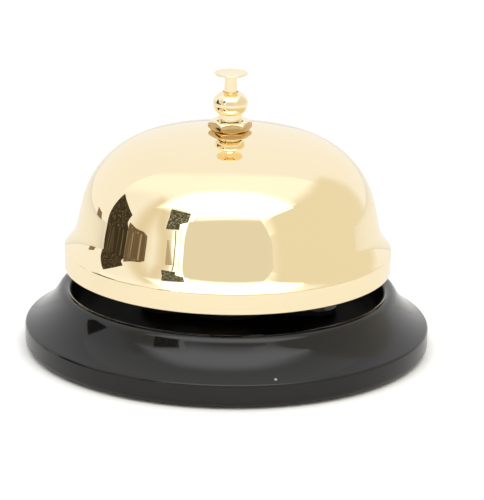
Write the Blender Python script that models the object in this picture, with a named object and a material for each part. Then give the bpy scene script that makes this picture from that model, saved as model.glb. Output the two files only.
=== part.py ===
"""Counter service bell: a gold-plated gong on a hollow post, rung by a push button.

The button drives a rod down the post. The rod's foot presses the tail of a bell-crank hammer,
whose head swings out and up against the inside of the gong. A compression spring lifts the
rod and a torsion spring brings the hammer home. The origin is on the bell's axis, on the
surface it stands on; the hammer's plane is X-Z, with the hammer towards +X.
"""

import math

import bmesh
import bpy
from mathutils import Matrix

MM = 0.001
CLEARANCE = 0.25 * MM  # left between pieces that bear on each other
TURN_STEPS = 40  # sides of the large turned pieces
SMALL_STEPS = 20  # sides of the small turned pieces
POST_STEPS = 24  # sides of the post and the pieces that show above the gong
HOLE_STEPS = 12  # sides of the screw holes and other small holes
RIVET_STEPS = 16  # sides of the rivet and its holes
HUB_STEPS = 32
HUB_HOLE_STEPS = 28
NUT_STEPS = 36  # sides of the cone that chamfers a nut's corners
SHARP_ANGLE = 35  # degrees, edges sharper than this are shaded as edges

# Base: a moulded dish with a flared skirt, a rounded lip and a sunken deck.
SKIRT_RADIUS = 42.45 * MM
SKIRT_BOTTOM = 0.4 * MM
SKIRT_FOOT_ROUND = 1.5 * MM
SKIRT_TOP_ROUND = 0.35 * MM
BASE_WALL = 1.6 * MM
LIP_CENTRE_RADIUS = 34.1 * MM
LIP_CENTRE_HEIGHT = 11.2 * MM
LIP_ROUND = 1.4 * MM
FLARE_ROUND = 14.59 * MM
FLARE_START = 28.0  # degrees, direction of the surface normal where the lip meets the flare
FLARE_END = 65.8  # degrees, the same where the flare meets the skirt
DECK_TOP = 7.6 * MM
DECK_EDGE_RADIUS = 29.6 * MM
DECK_FILLET = 2.2 * MM
WELL_WALL_ANGLE = -10.0  # degrees, where the deck fillet runs into the well's wall
UNDERSIDE_START = 36.0  # degrees, the inside of the flare starts here, clear of the thick lip
BOSS_RADIUS = 3.0 * MM
BOSS_BOTTOM = 2.45 * MM
PILOT_HOLE_RADIUS = 1.2 * MM
PILOT_HOLE_FLOOR = 0.6 * MM

# Closing plate and the ring it stands on.
PLATE_RADIUS = 40.3 * MM
PLATE_BOTTOM = 1.25 * MM
PLATE_THICKNESS = 0.9 * MM
PAD_OUTER_RADIUS = 39.6 * MM
PAD_INNER_RADIUS = 30.0 * MM
PAD_THICKNESS = 1.0 * MM
PAD_CHAMFER = 0.2 * MM
BASE_SCREW_CIRCLE = 24.0 * MM
BASE_SCREW_ANGLES = (90.0, 210.0, 330.0)

# Self-tapping pan-head screws, the same for the plate and the striker frame.
SCREW_HEAD_RADIUS = 2.3 * MM
SCREW_SHANK_RADIUS = 1.0 * MM
SCREW_HOLE_RADIUS = 1.4 * MM
SCREW_TAPER = 0.9 * MM  # length of the point
SCREW_TIP_SHARE = 0.4  # radius of the point's end over that of the shank
SCREW_EDGE_SHARE = 0.45  # height of the head's straight edge over that of the head
SCREW_CROWN_SHARE = 0.72  # radius of the head's flat top over that of the head
BASE_SCREW_HEAD = 0.65 * MM
BASE_SCREW_POINT = 6.2 * MM
FRAME_SCREW_HEAD = 1.5 * MM
FRAME_SCREW_POINT = 3.4 * MM
RECESS_LENGTH = 2.6 * MM
RECESS_WIDTH = 0.55 * MM

# Gong: drawn sheet with a plain rim band, a cove, a leaning wall, a shoulder and a crown.
RIM_RADIUS = 34.3 * MM
RIM_BOTTOM = 17.3 * MM
RIM_EDGE_ROUND = 0.3 * MM
BAND_TOP = 21.5 * MM
BAND_ROUND = 0.5 * MM
COVE_ROUND = 9.108 * MM
COVE_TOP = 26.239 * MM
COVE_END = 44.3  # degrees, lean of the cove where it meets the band's rounded edge
WALL_LEAN = 12.5  # degrees from vertical
SHOULDER_ROUND = 18.05 * MM
CROWN_ROUND = 66.1 * MM
CROWN_JOIN = 15.79  # degrees from the axis, where the crown runs into the shoulder
GONG_APEX = 47.1 * MM
GONG_SEAT_TOP = 46.85 * MM  # the crown is flattened under the nut
GONG_WALL = 0.9 * MM
GONG_HOLE_RADIUS = 2.75 * MM

# Hollow post that carries the gong.
POST_RADIUS = 4.5 * MM
POST_BORE = 3.2 * MM
POST_BOTTOM = 2.55 * MM
POST_SHOULDER = 45.0 * MM
POST_BORE_TOP = 43.7 * MM
POST_NECK_RADIUS = 2.45 * MM
POST_NECK_BORE = 1.7 * MM
POST_TOP = 52.2 * MM
POST_FLANGE_RADIUS = 6.5 * MM
POST_FLANGE_THICKNESS = 1.2 * MM
SLOT_LENGTH = 6.0 * MM  # along X, centred on the wall that it breaks through
SLOT_WIDTH = 2.6 * MM
SLOT_BOTTOM = 22.0 * MM
SLOT_TOP = 29.5 * MM
POST_WASHER_RADIUS = 7.6 * MM
POST_WASHER_THICKNESS = 0.6 * MM
NUT_FACE_SHARE = 0.96  # radius of a nut's chamfered face over half its flats
NUT_CORNER_SHARE = 1.02  # radius of the chamfer cone's edge over that of the corners
NUT_CHAMFER = 30.0  # degrees
POST_NUT_FLATS = 13.0 * MM
POST_NUT_HEIGHT = 2.15 * MM

# Pieces stacked on the post's neck.
SEAT_WASHER_RADIUS = 5.4 * MM
GONG_NUT_FLATS = 8.0 * MM
GONG_NUT_HEIGHT = 2.0 * MM
GONG_NUT_TURN = 6.0  # degrees
BALL_RADIUS = 3.65 * MM
BALL_UPPER_HEIGHT = 2.75 * MM
BALL_LOWER_HEIGHT = 3.3 * MM
BALL_CENTRE = 52.6 * MM
BALL_BOTTOM = 50.56 * MM
BALL_SOCKET_RADIUS = 2.65 * MM
BALL_SOCKET_TOP = 52.5 * MM
BALL_BORE = 1.6 * MM
BALL_BORE_LEAD = 0.12 * MM
GONG_NUT_FIT = 0.2 * MM

# Plunger: button, rod, clip and return spring.
BUTTON_TOP = 59.3 * MM
BUTTON_RADIUS = 3.55 * MM
BUTTON_THICKNESS = 0.7 * MM
BUTTON_CHAMFER = 0.3 * MM
BUTTON_FOOT_CHAMFER = 0.1 * MM
BUTTON_NECK_RADIUS = 1.375 * MM
BUTTON_NECK_BOTTOM = 54.4 * MM
BUTTON_SOCKET_RADIUS = 0.9 * MM
BUTTON_SOCKET_TOP = 57.9 * MM
ROD_RADIUS = 1.3 * MM
ROD_FOOT_GAP = 0.3 * MM  # between the rod's foot and the hammer's tail at rest
ROD_FOOT_RADIUS = 0.8 * MM
ROD_FOOT_CHAMFER = 0.4 * MM
ROD_SHOULDER = 54.1 * MM
SPIGOT_RADIUS = 0.7 * MM
SPIGOT_TOP = 57.6 * MM
CLIP_BOTTOM = 42.6 * MM
CLIP_THICKNESS = 0.8 * MM
CLIP_RADIUS = 2.8 * MM
CLIP_FIT = 0.2 * MM
BUSH_BOTTOM = 31.3 * MM
BUSH_TOP = 34.0 * MM
BUSH_RADIUS = 3.0 * MM
BUSH_BORE = 1.5 * MM
BUSH_CHAMFER = 0.3 * MM
SPRING_RADIUS = 2.2 * MM
SPRING_WIRE = 0.25 * MM
SPRING_TURNS = 6
SPRING_STEPS = 10  # points in each turn
SPRING_EASE = 1.35  # how far the end turns are left from lying flat, from 1 up

# Hammer: a bell crank on a pin between the frame's two ears.
PIVOT_X = 12.0 * MM
PIVOT_Z = 27.0 * MM
PIN_RADIUS = 1.2 * MM
PIN_RUNNING_FIT = 0.1 * MM
PIN_HEAD_RADIUS = 2.1 * MM
PIN_HEAD_THICKNESS = 0.8 * MM
PIN_END = 5.9 * MM
PIN_CHAMFER = 0.2 * MM
PIN_CROWN_SHARE = 0.75  # radius of the pin head's flat over that of the head
PIN_CLIP_FIT = 0.2 * MM
PIN_CLIP_RADIUS = 2.6 * MM
PIN_CLIP_THICKNESS = 0.6 * MM
PIN_CLIP_MOUTH = 1.6 * MM
PIN_CLIP_REACH = 6.0 * MM  # length of the cut that opens the clip's mouth
SPACER_RADIUS = 2.1 * MM
TAIL_X = 1.2 * MM
TAIL_RADIUS = 1.3 * MM
ARM_THICKNESS = 1.6 * MM
LEVER_INSET = 0.05 * MM  # the long arm is this much thinner on each side than the rest
ARM_HALF_WIDTH = 1.8 * MM
ARM_EYE_RADIUS = 2.9 * MM
HEAD_X = 26.5 * MM
HEAD_Z = 15.0 * MM
HEAD_RADIUS = 3.5 * MM
HEAD_HALF_LENGTH = 3.2 * MM
HEAD_CHAMFER = 0.4 * MM
HEAD_SLOT_WIDTH = 2.3 * MM
HEAD_SLOT_REACH = 2.5 * MM  # beyond the head's centre, away from the pivot
HEAD_SLOT_LENGTH = 8.0 * MM
HEAD_SLOT_HEIGHT = 9.0 * MM
HEAD_EYE_RADIUS = 2.0 * MM
RIVET_RADIUS = 0.8 * MM
RIVET_HOLE_RADIUS = 1.0 * MM
RIVET_CROWN_SHARE = 0.6  # radius of a rivet head's flat over that of the head
RIVET_HEAD_RADIUS = 1.6 * MM
RIVET_HEAD_THICKNESS = 0.6 * MM

# Frame: a steel strap under the post's flange, with two ears folded up.
FRAME_THICKNESS = 1.0 * MM
FRAME_BOTTOM = 7.9 * MM
FRAME_HALF_WIDTH = 4.6 * MM
EAR_OUTSIDE = 4.5 * MM
EAR_INSIDE = EAR_OUTSIDE - FRAME_THICKNESS
FRAME_HUB_RADIUS = 8.5 * MM
FRAME_SCREW_XS = (-13.5 * MM, 18.5 * MM)
EAR_RADIUS = 3.2 * MM
EAR_FOOT_HALF_LENGTH = 5.2 * MM
SPRING_ANCHOR_X = 10.05 * MM
SPRING_ANCHOR_Z = 18.5 * MM
SPRING_ANCHOR_RADIUS = 0.6 * MM

# Torsion spring round the pin, beside the arm.
TORSION_RADIUS = 1.95 * MM
TORSION_WIRE = 0.25 * MM
TORSION_TURNS = 3
TORSION_ARM_SIDE = 1.25 * MM
TORSION_EAR_SIDE = 3.05 * MM
TORSION_LEG = 9.0 * MM
TORSION_HOOK_OFFSET = 2.35 * MM
TORSION_BEND = 0.5 * MM
TORSION_STEPS = 30  # points round the whole coil
TORSION_HOOK_END = 0.2 * MM  # how far the hook's end stands out past the arm
TORSION_LEG_START = 1.0 * MM  # along the arm from the pivot, where the leg leaves the coil
TORSION_LEG_LIFT = 0.05 * MM  # of the leg's start above the coil
TORSION_END = 4.9 * MM  # where the leg through the ear ends

GOLD = ((0.93, 0.78, 0.46), 0.08, 1.0)
DARK_GOLD = ((0.78, 0.58, 0.27), 0.14, 1.0)
BLACK_GLOSS = ((0.012, 0.012, 0.013), 0.1, 0.0)
BLACK_STEEL = ((0.045, 0.045, 0.05), 0.38, 0.9)
ZINC = ((0.55, 0.56, 0.58), 0.32, 1.0)
SPRING_STEEL = ((0.5, 0.5, 0.52), 0.25, 1.0)
RUBBER = ((0.03, 0.03, 0.032), 0.8, 0.0)
NYLON = ((0.8, 0.78, 0.72), 0.5, 0.0)
BRASS = ((0.72, 0.52, 0.22), 0.3, 1.0)


def clear_scene():
    for item in list(bpy.data.objects):
        bpy.data.objects.remove(item)


def finish_material(name, finish):
    colour, roughness, metallic = finish
    material = bpy.data.materials.new(name)
    material.use_nodes = True
    shader = material.node_tree.nodes["Principled BSDF"]
    shader.inputs["Base Color"].default_value = (*colour, 1.0)
    shader.inputs["Roughness"].default_value = roughness
    shader.inputs["Metallic"].default_value = metallic
    return material


def add_object(name, mesh, finish=None):
    """Adds a piece, or with no finish a hidden helper solid for a Boolean."""
    item = bpy.data.objects.new(name, mesh)
    bpy.context.scene.collection.objects.link(item)
    if finish is None:
        item.hide_render = True
        item.display_type = "WIRE"
        return item
    item.data.materials.append(finish_material(name, finish))
    if isinstance(mesh, bpy.types.Mesh):
        mesh.shade_smooth()
        mesh.set_sharp_from_angle(angle=math.radians(SHARP_ANGLE))
    return item


def arc(centre, radius, first, last, steps):
    """Points on an arc about a centre, between two directions in degrees, ends included."""
    points = []
    for step in range(steps + 1):
        angle = math.radians(first + (last - first) * step / steps)
        points.append((centre[0] + radius * math.cos(angle), centre[1] + radius * math.sin(angle)))
    return points


def turned(name, outline, finish=None, steps=SMALL_STEPS, place=None):
    """A solid turned about Z from a closed outline of (radius, height), then put in place."""
    shape = bmesh.new()
    verts = [shape.verts.new((radius, 0.0, height)) for radius, height in outline]
    edges = []
    for index, vert in enumerate(verts):
        before = verts[index - 1]
        if vert.co.x > 0.0 or before.co.x > 0.0:
            edges.append(shape.edges.new((before, vert)))
    bmesh.ops.spin(
        shape, geom=verts + edges, cent=(0, 0, 0), axis=(0, 0, 1),
        angle=math.tau, steps=steps, use_merge=True,
    )
    bmesh.ops.remove_doubles(shape, verts=shape.verts, dist=1e-7)
    bmesh.ops.recalc_face_normals(shape, faces=shape.faces)
    if place is not None:
        shape.transform(place)
    mesh = bpy.data.meshes.new(name)
    shape.to_mesh(mesh)
    shape.free()
    return add_object(name, mesh, finish)


def extruded(name, outline, low, high, finish=None, place=None):
    """A flat outline in X-Y raised from one height to another, then put in place."""
    shape = bmesh.new()
    face = shape.faces.new([shape.verts.new((x, y, low)) for x, y in outline])
    raised = bmesh.ops.extrude_face_region(shape, geom=[face])
    for item in raised["geom"]:
        if isinstance(item, bmesh.types.BMVert):
            item.co.z = high
    bmesh.ops.recalc_face_normals(shape, faces=shape.faces)
    if place is not None:
        shape.transform(place)
    mesh = bpy.data.meshes.new(name)
    shape.to_mesh(mesh)
    shape.free()
    return add_object(name, mesh, finish)


def disc(radius, bottom, top):
    """Outline of a plain disc for turned()."""
    return [(0.0, bottom), (radius, bottom), (radius, top), (0.0, top)]


def ring(inner, outer, bottom, top, chamfer=0.0):
    """Outline of a ring for turned(), with its outer edges broken by the chamfer."""
    if not chamfer:
        return [(inner, bottom), (outer, bottom), (outer, top), (inner, top)]
    return [
        (inner, bottom), (outer - chamfer, bottom), (outer, bottom + chamfer),
        (outer, top - chamfer), (outer - chamfer, top), (inner, top),
    ]


def box(width, depth, bottom, top):
    """Outline and heights of a centred block for extruded()."""
    half_x = width / 2
    half_y = depth / 2
    return [(-half_x, -half_y), (half_x, -half_y), (half_x, half_y), (-half_x, half_y)], bottom, top


def link(start, start_radius, end, end_radius, steps=8):
    """Outline of two round ends joined by their outer tangents."""
    span_x = end[0] - start[0]
    span_y = end[1] - start[1]
    heading = math.degrees(math.atan2(span_y, span_x))
    spread = math.degrees(math.acos((start_radius - end_radius) / math.hypot(span_x, span_y)))
    return arc(end, end_radius, heading - spread, heading + spread, steps) + arc(
        start, start_radius, heading + spread, heading + 360 - spread, steps
    )


def combine(item, operation, other):
    change = item.modifiers.new(other.name, "BOOLEAN")
    change.operation = operation
    change.solver = "EXACT"
    change.object = other


def cut(item, other):
    combine(item, "DIFFERENCE", other)


def weld(item, other):
    combine(item, "UNION", other)


def standing(x=0.0, z=0.0):
    """Turns a shape made on X-Y to stand in the X-Z plane, its own +Z running towards -Y."""
    return Matrix.Translation((x, 0, z)) @ Matrix.Rotation(math.radians(90), 4, "X")


def at(x=0.0, y=0.0, z=0.0):
    return Matrix.Translation((x, y, z))


def wire(name, path, radius, finish):
    """A round wire bent along a path of points."""
    curve = bpy.data.curves.new(name, "CURVE")
    curve.dimensions = "3D"
    curve.bevel_depth = radius
    curve.bevel_resolution = 1
    curve.use_fill_caps = True
    spline = curve.splines.new("POLY")
    spline.points.add(len(path) - 1)
    for point, place in zip(spline.points, path):
        point.co = (*place, 1.0)
    return add_object(name, curve, finish)


def rest_on(axis, *pieces):
    """Hangs moving pieces on the empty that marks their joint, with their shapes left in place."""
    for piece in pieces:
        piece.data.transform(at(*axis.location).inverted())
        piece.parent = axis


def joint_marker(name, x, y, z):
    marker = bpy.data.objects.new(name, None)
    marker.location = (x, y, z)
    bpy.context.scene.collection.objects.link(marker)
    return marker


# ---- base ----

def flare_centre():
    reach = LIP_ROUND + FLARE_ROUND
    angle = math.radians(FLARE_START)
    return (LIP_CENTRE_RADIUS + reach * math.cos(angle), LIP_CENTRE_HEIGHT + reach * math.sin(angle))


def base_outline():
    """Over the deck, up the well's wall, round the lip, down the flare and back underneath."""
    post_hole = POST_RADIUS + CLEARANCE
    fillet_centre = (DECK_EDGE_RADIUS, DECK_TOP + DECK_FILLET)
    lip_centre = (LIP_CENTRE_RADIUS, LIP_CENTRE_HEIGHT)
    flare = flare_centre()
    foot = (SKIRT_RADIUS - SKIRT_FOOT_ROUND, SKIRT_BOTTOM + SKIRT_FOOT_ROUND)
    under = FLARE_ROUND + BASE_WALL
    skirt_inside = SKIRT_RADIUS - BASE_WALL
    low_angle = 180 + math.degrees(math.acos((flare[0] - skirt_inside) / under))
    flare_bottom = arc(flare, FLARE_ROUND, 180 + FLARE_END, 180 + FLARE_END, 1)[0]
    edge_angle = math.radians(FLARE_END)
    edge_centre = (
        flare_bottom[0] - SKIRT_TOP_ROUND * math.cos(edge_angle),
        flare_bottom[1] - SKIRT_TOP_ROUND * math.sin(edge_angle),
    )
    outline = [(post_hole, DECK_TOP)]
    outline += arc(fillet_centre, DECK_FILLET, -90, WELL_WALL_ANGLE, 3)
    outline += arc(lip_centre, LIP_ROUND, 180, FLARE_START, 6)
    outline += arc(flare, FLARE_ROUND, 180 + FLARE_START, 180 + FLARE_END, 6)[1:]
    outline += arc(edge_centre, SKIRT_TOP_ROUND, FLARE_END, 0, 2)[1:-1]
    outline += [(SKIRT_RADIUS, edge_centre[1])]
    outline += arc(foot, SKIRT_FOOT_ROUND, 0, -90, 3)
    outline += [(skirt_inside, SKIRT_BOTTOM)]
    outline += arc(flare, under, low_angle, 180 + UNDERSIDE_START, 3)
    outline += arc(fillet_centre, DECK_FILLET + BASE_WALL, WELL_WALL_ANGLE, -90, 3)
    outline += [(post_hole, DECK_TOP - BASE_WALL)]
    return outline


def base_screw_places():
    places = []
    for angle in BASE_SCREW_ANGLES:
        turn = math.radians(angle)
        places.append((BASE_SCREW_CIRCLE * math.cos(turn), BASE_SCREW_CIRCLE * math.sin(turn)))
    return places


def make_base():
    base = turned("base_shell", base_outline(), BLACK_GLOSS, TURN_STEPS)
    ceiling = DECK_TOP - PILOT_HOLE_FLOOR
    floor = BOSS_BOTTOM + PILOT_HOLE_FLOOR
    plate_screws = [(x, y, BOSS_BOTTOM - MM, ceiling) for x, y in base_screw_places()]
    frame_screws = [(x, 0.0, floor, DECK_TOP + MM) for x in FRAME_SCREW_XS]
    for index, (x, y, low, high) in enumerate(plate_screws + frame_screws):
        boss = disc(BOSS_RADIUS, BOSS_BOTTOM, DECK_TOP - BASE_WALL / 2)
        weld(base, turned(f"boss_{index}", boss, place=at(x, y)))
        pilot = disc(PILOT_HOLE_RADIUS, low, high)
        cut(base, turned(f"pilot_{index}", pilot, steps=HOLE_STEPS, place=at(x, y)))


def make_screw(name, x, y, seat, point, head):
    """A pan-head screw whose head bears at one height and whose point ends at another."""
    length = abs(point - seat)
    edge = head * SCREW_EDGE_SHARE
    outline = [
        (0.0, length), (SCREW_SHANK_RADIUS * SCREW_TIP_SHARE, length),
        (SCREW_SHANK_RADIUS, length - SCREW_TAPER), (SCREW_SHANK_RADIUS, 0.0),
        (SCREW_HEAD_RADIUS, 0.0), (SCREW_HEAD_RADIUS, -edge),
        (SCREW_HEAD_RADIUS * SCREW_CROWN_SHARE, -head), (0.0, -head),
    ]
    turn = Matrix.Identity(4) if point > seat else Matrix.Rotation(math.pi, 4, "X")
    place = at(x, y, seat) @ turn
    screw = turned(name, outline, ZINC, place=place)
    sizes = ((RECESS_LENGTH, RECESS_WIDTH), (RECESS_WIDTH, RECESS_LENGTH))
    for index, (length_x, length_y) in enumerate(sizes):
        block = box(length_x, length_y, -head - MM, -edge)
        cut(screw, extruded(f"{name}_recess_{index}", *block, place=place))


def make_underside():
    plate_top = PLATE_BOTTOM + PLATE_THICKNESS
    plate_outline = disc(PLATE_RADIUS, PLATE_BOTTOM, plate_top)
    plate = turned("bottom_plate", plate_outline, BLACK_STEEL, TURN_STEPS)
    for index, (x, y) in enumerate(base_screw_places()):
        hole = disc(SCREW_HOLE_RADIUS, PLATE_BOTTOM - MM, plate_top + MM)
        cut(plate, turned(f"plate_hole_{index}", hole, steps=HOLE_STEPS, place=at(x, y)))
        seat = PLATE_BOTTOM - CLEARANCE
        make_screw(f"base_screw_{index + 1}", x, y, seat, BASE_SCREW_POINT, BASE_SCREW_HEAD)
    pad = ring(PAD_INNER_RADIUS, PAD_OUTER_RADIUS, 0.0, PAD_THICKNESS, PAD_CHAMFER)
    turned("non_slip_ring", pad, RUBBER, TURN_STEPS)


# ---- gong ----

def gong_side(depth):
    """The gong's outline from crown to rim, at a depth below its outer surface."""
    lean = math.radians(WALL_LEAN)
    join = math.radians(CROWN_JOIN)
    crown = (0.0, GONG_APEX - CROWN_ROUND)
    gap = CROWN_ROUND - SHOULDER_ROUND
    shoulder = (gap * math.sin(join), crown[1] + gap * math.cos(join))
    wall_top = arc(shoulder, SHOULDER_ROUND, WALL_LEAN, WALL_LEAN, 1)[0]
    cove_start_radius = wall_top[0] + (wall_top[1] - COVE_TOP) * math.tan(lean)
    cove = (cove_start_radius + COVE_ROUND * math.cos(lean), COVE_TOP + COVE_ROUND * math.sin(lean))
    crown_radius = CROWN_ROUND - depth
    flat = GONG_SEAT_TOP - depth
    flat_radius = math.sqrt(crown_radius**2 - (flat - crown[1]) ** 2)
    flat_angle = math.degrees(math.acos(flat_radius / crown_radius))
    points = [(GONG_HOLE_RADIUS, flat)]
    crown_steps, shoulder_steps = (2, 5) if depth else (3, 7)
    points += arc(crown, crown_radius, flat_angle, 90 - CROWN_JOIN, crown_steps)
    points += arc(shoulder, SHOULDER_ROUND - depth, 90 - CROWN_JOIN, WALL_LEAN, shoulder_steps)[1:]
    if depth:
        inside = RIM_RADIUS - depth
        last = math.degrees(math.acos((cove[0] - inside) / (COVE_ROUND + depth)))
        points += arc(cove, COVE_ROUND + depth, 180 + WALL_LEAN, 180 + last, 2)
        return points
    points += arc(cove, COVE_ROUND, 180 + WALL_LEAN, 180 + COVE_END, 3)
    points += arc((RIM_RADIUS - BAND_ROUND, BAND_TOP), BAND_ROUND, COVE_END, 0, 2)
    return points


def make_gong():
    edge = RIM_EDGE_ROUND
    outside = gong_side(0.0)
    inside = gong_side(GONG_WALL)
    rim = arc((RIM_RADIUS - edge, RIM_BOTTOM + edge), edge, 0, -90, 1)
    rim += arc((RIM_RADIUS - GONG_WALL + edge, RIM_BOTTOM + edge), edge, -90, -180, 1)
    turned("gong", outside + rim + inside[::-1], GOLD, TURN_STEPS)


# ---- post and what is stacked on it ----

def hex_nut(name, flats, bottom, top, hole, turn, finish):
    """A hexagon nut with both faces chamfered to a circle."""
    corner = flats / math.sqrt(3)
    face = flats / 2 * NUT_FACE_SHARE
    outside = corner * NUT_CORNER_SHARE
    drop = (corner - face) * math.tan(math.radians(NUT_CHAMFER))
    barrel = [
        (hole, bottom), (face, bottom), (outside, bottom + drop),
        (outside, top - drop), (face, top), (hole, top),
    ]
    nut = turned(name, barrel, finish, steps=NUT_STEPS)
    hexagon = arc((0.0, 0.0), corner, turn, turn + 300, 5)
    combine(nut, "INTERSECT", extruded(f"{name}_hexagon", hexagon, bottom - MM, top + MM))
    return nut


def make_post():
    flange_bottom = FRAME_BOTTOM + FRAME_THICKNESS + CLEARANCE
    flange_top = flange_bottom + POST_FLANGE_THICKNESS
    outline = [
        (POST_BORE, POST_BOTTOM), (POST_RADIUS, POST_BOTTOM), (POST_RADIUS, flange_bottom),
        (POST_FLANGE_RADIUS, flange_bottom), (POST_FLANGE_RADIUS, flange_top),
        (POST_RADIUS, flange_top), (POST_RADIUS, POST_SHOULDER), (POST_NECK_RADIUS, POST_SHOULDER),
        (POST_NECK_RADIUS, POST_TOP), (POST_NECK_BORE, POST_TOP), (POST_NECK_BORE, POST_BORE_TOP),
        (POST_BORE, POST_BORE_TOP),
    ]
    post = turned("centre_post", outline, ZINC, POST_STEPS)
    slot = box(SLOT_LENGTH, SLOT_WIDTH, SLOT_BOTTOM, SLOT_TOP)
    cut(post, extruded("post_slot", *slot, place=at(POST_RADIUS)))

    hole = POST_RADIUS + CLEARANCE
    washer_top = DECK_TOP - BASE_WALL - CLEARANCE
    washer_bottom = washer_top - POST_WASHER_THICKNESS
    turned("post_washer", ring(hole, POST_WASHER_RADIUS, washer_bottom, washer_top), ZINC)
    nut_top = washer_bottom - CLEARANCE
    hex_nut("post_nut", POST_NUT_FLATS, nut_top - POST_NUT_HEIGHT, nut_top, hole, 0.0, ZINC)


def make_crown_fittings():
    washer_bottom = POST_SHOULDER + CLEARANCE
    washer_top = GONG_SEAT_TOP - GONG_WALL - CLEARANCE
    washer = ring(GONG_HOLE_RADIUS, SEAT_WASHER_RADIUS, washer_bottom, washer_top)
    turned("gong_seat_washer", washer, NYLON)
    nut_bottom = GONG_SEAT_TOP + CLEARANCE
    nut_top = nut_bottom + GONG_NUT_HEIGHT
    nut_hole = POST_NECK_RADIUS + GONG_NUT_FIT
    hex_nut("gong_nut", GONG_NUT_FLATS, nut_bottom, nut_top, nut_hole, GONG_NUT_TURN, DARK_GOLD)
    make_ball()


def make_ball():
    low = -math.degrees(math.asin((BALL_CENTRE - BALL_BOTTOM) / BALL_LOWER_HEIGHT))
    high = math.degrees(math.acos((BALL_BORE + BALL_BORE_LEAD) / BALL_RADIUS))
    surface = arc((0.0, 0.0), BALL_RADIUS, low, high, 8)
    outline = [(BALL_SOCKET_RADIUS, BALL_BOTTOM)]
    for radius, height in surface:
        half_height = BALL_UPPER_HEIGHT if height > 0.0 else BALL_LOWER_HEIGHT
        outline.append((radius, BALL_CENTRE + height * half_height / BALL_RADIUS))
    outline += [(BALL_BORE, outline[-1][1]), (BALL_BORE, BALL_SOCKET_TOP)]
    outline += [(BALL_SOCKET_RADIUS, BALL_SOCKET_TOP)]
    turned("ball_finial", outline, GOLD, POST_STEPS)


# ---- plunger ----

def helix(radius, low, high, turns, steps_per_turn):
    """Points up a coil about Z, its first and last turns lying close."""
    points = []
    count = turns * steps_per_turn
    for step in range(count + 1):
        share = step / count
        eased = share - math.sin(math.tau * share) / (math.tau * SPRING_EASE)
        turn = math.tau * turns * share
        points.append((radius * math.cos(turn), radius * math.sin(turn), low + (high - low) * eased))
    return points


def make_plunger(axis):
    under = BUTTON_TOP - BUTTON_THICKNESS
    edge = BUTTON_CHAMFER
    lower = BUTTON_FOOT_CHAMFER
    button = [
        (0.0, BUTTON_TOP), (BUTTON_RADIUS - edge, BUTTON_TOP), (BUTTON_RADIUS, BUTTON_TOP - edge),
        (BUTTON_RADIUS, under + lower), (BUTTON_RADIUS - lower, under),
        (BUTTON_NECK_RADIUS + edge, under), (BUTTON_NECK_RADIUS, under - edge),
        (BUTTON_NECK_RADIUS, BUTTON_NECK_BOTTOM), (BUTTON_SOCKET_RADIUS, BUTTON_NECK_BOTTOM),
        (BUTTON_SOCKET_RADIUS, BUTTON_SOCKET_TOP), (0.0, BUTTON_SOCKET_TOP),
    ]
    foot = PIVOT_Z + TAIL_RADIUS + ROD_FOOT_GAP
    rod = [
        (0.0, foot), (ROD_FOOT_RADIUS, foot), (ROD_RADIUS, foot + ROD_FOOT_CHAMFER),
        (ROD_RADIUS, ROD_SHOULDER), (SPIGOT_RADIUS, ROD_SHOULDER),
        (SPIGOT_RADIUS, SPIGOT_TOP), (0.0, SPIGOT_TOP),
    ]
    clip = ring(ROD_RADIUS + CLIP_FIT, CLIP_RADIUS, CLIP_BOTTOM, CLIP_BOTTOM + CLIP_THICKNESS)
    rest_on(
        axis,
        turned("push_button", button, GOLD, POST_STEPS),
        turned("plunger_rod", rod, ZINC),
        turned("rod_clip", clip, SPRING_STEEL),
    )
    bush = ring(BUSH_BORE, BUSH_RADIUS, BUSH_BOTTOM, BUSH_TOP, BUSH_CHAMFER)
    turned("guide_bush", bush, BRASS)
    low = BUSH_TOP + CLEARANCE + SPRING_WIRE
    high = CLIP_BOTTOM - CLEARANCE - SPRING_WIRE
    coil = helix(SPRING_RADIUS, low, high, SPRING_TURNS, SPRING_STEPS)
    wire("return_spring", coil, SPRING_WIRE, SPRING_STEEL)


# ---- striker frame ----

def ear_outline():
    """One ear in the X-Z plane: a round eye on a foot that widens into the strap."""
    drop = PIVOT_Z - FRAME_BOTTOM - FRAME_THICKNESS / 2
    slant = math.degrees(math.atan2(-drop, EAR_FOOT_HALF_LENGTH))
    touch = slant + math.degrees(math.acos(EAR_RADIUS / math.hypot(EAR_FOOT_HALF_LENGTH, drop)))
    foot = [(-EAR_FOOT_HALF_LENGTH, -drop), (EAR_FOOT_HALF_LENGTH, -drop)]
    return foot + arc((0.0, 0.0), EAR_RADIUS, touch, 180 - touch, 10)


def make_ears(frame):
    pin_hole = disc(PIN_RADIUS + PIN_RUNNING_FIT, -2 * EAR_OUTSIDE, 2 * EAR_OUTSIDE)
    pin_cutter = turned("frame_pin_hole", pin_hole, place=standing(PIVOT_X, PIVOT_Z))
    anchor = disc(SPRING_ANCHOR_RADIUS, -2 * EAR_OUTSIDE, 0.0)
    anchor_place = standing(SPRING_ANCHOR_X, SPRING_ANCHOR_Z)
    anchor_cutter = turned("frame_anchor_hole", anchor, steps=HOLE_STEPS, place=anchor_place)
    for side, low in (("near", EAR_INSIDE), ("far", -EAR_OUTSIDE)):
        place = standing(PIVOT_X, PIVOT_Z)
        ear = extruded(f"ear_{side}", ear_outline(), low, low + FRAME_THICKNESS, place=place)
        cut(ear, pin_cutter)
        if side == "far":
            cut(ear, anchor_cutter)
        weld(frame, ear)


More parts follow.
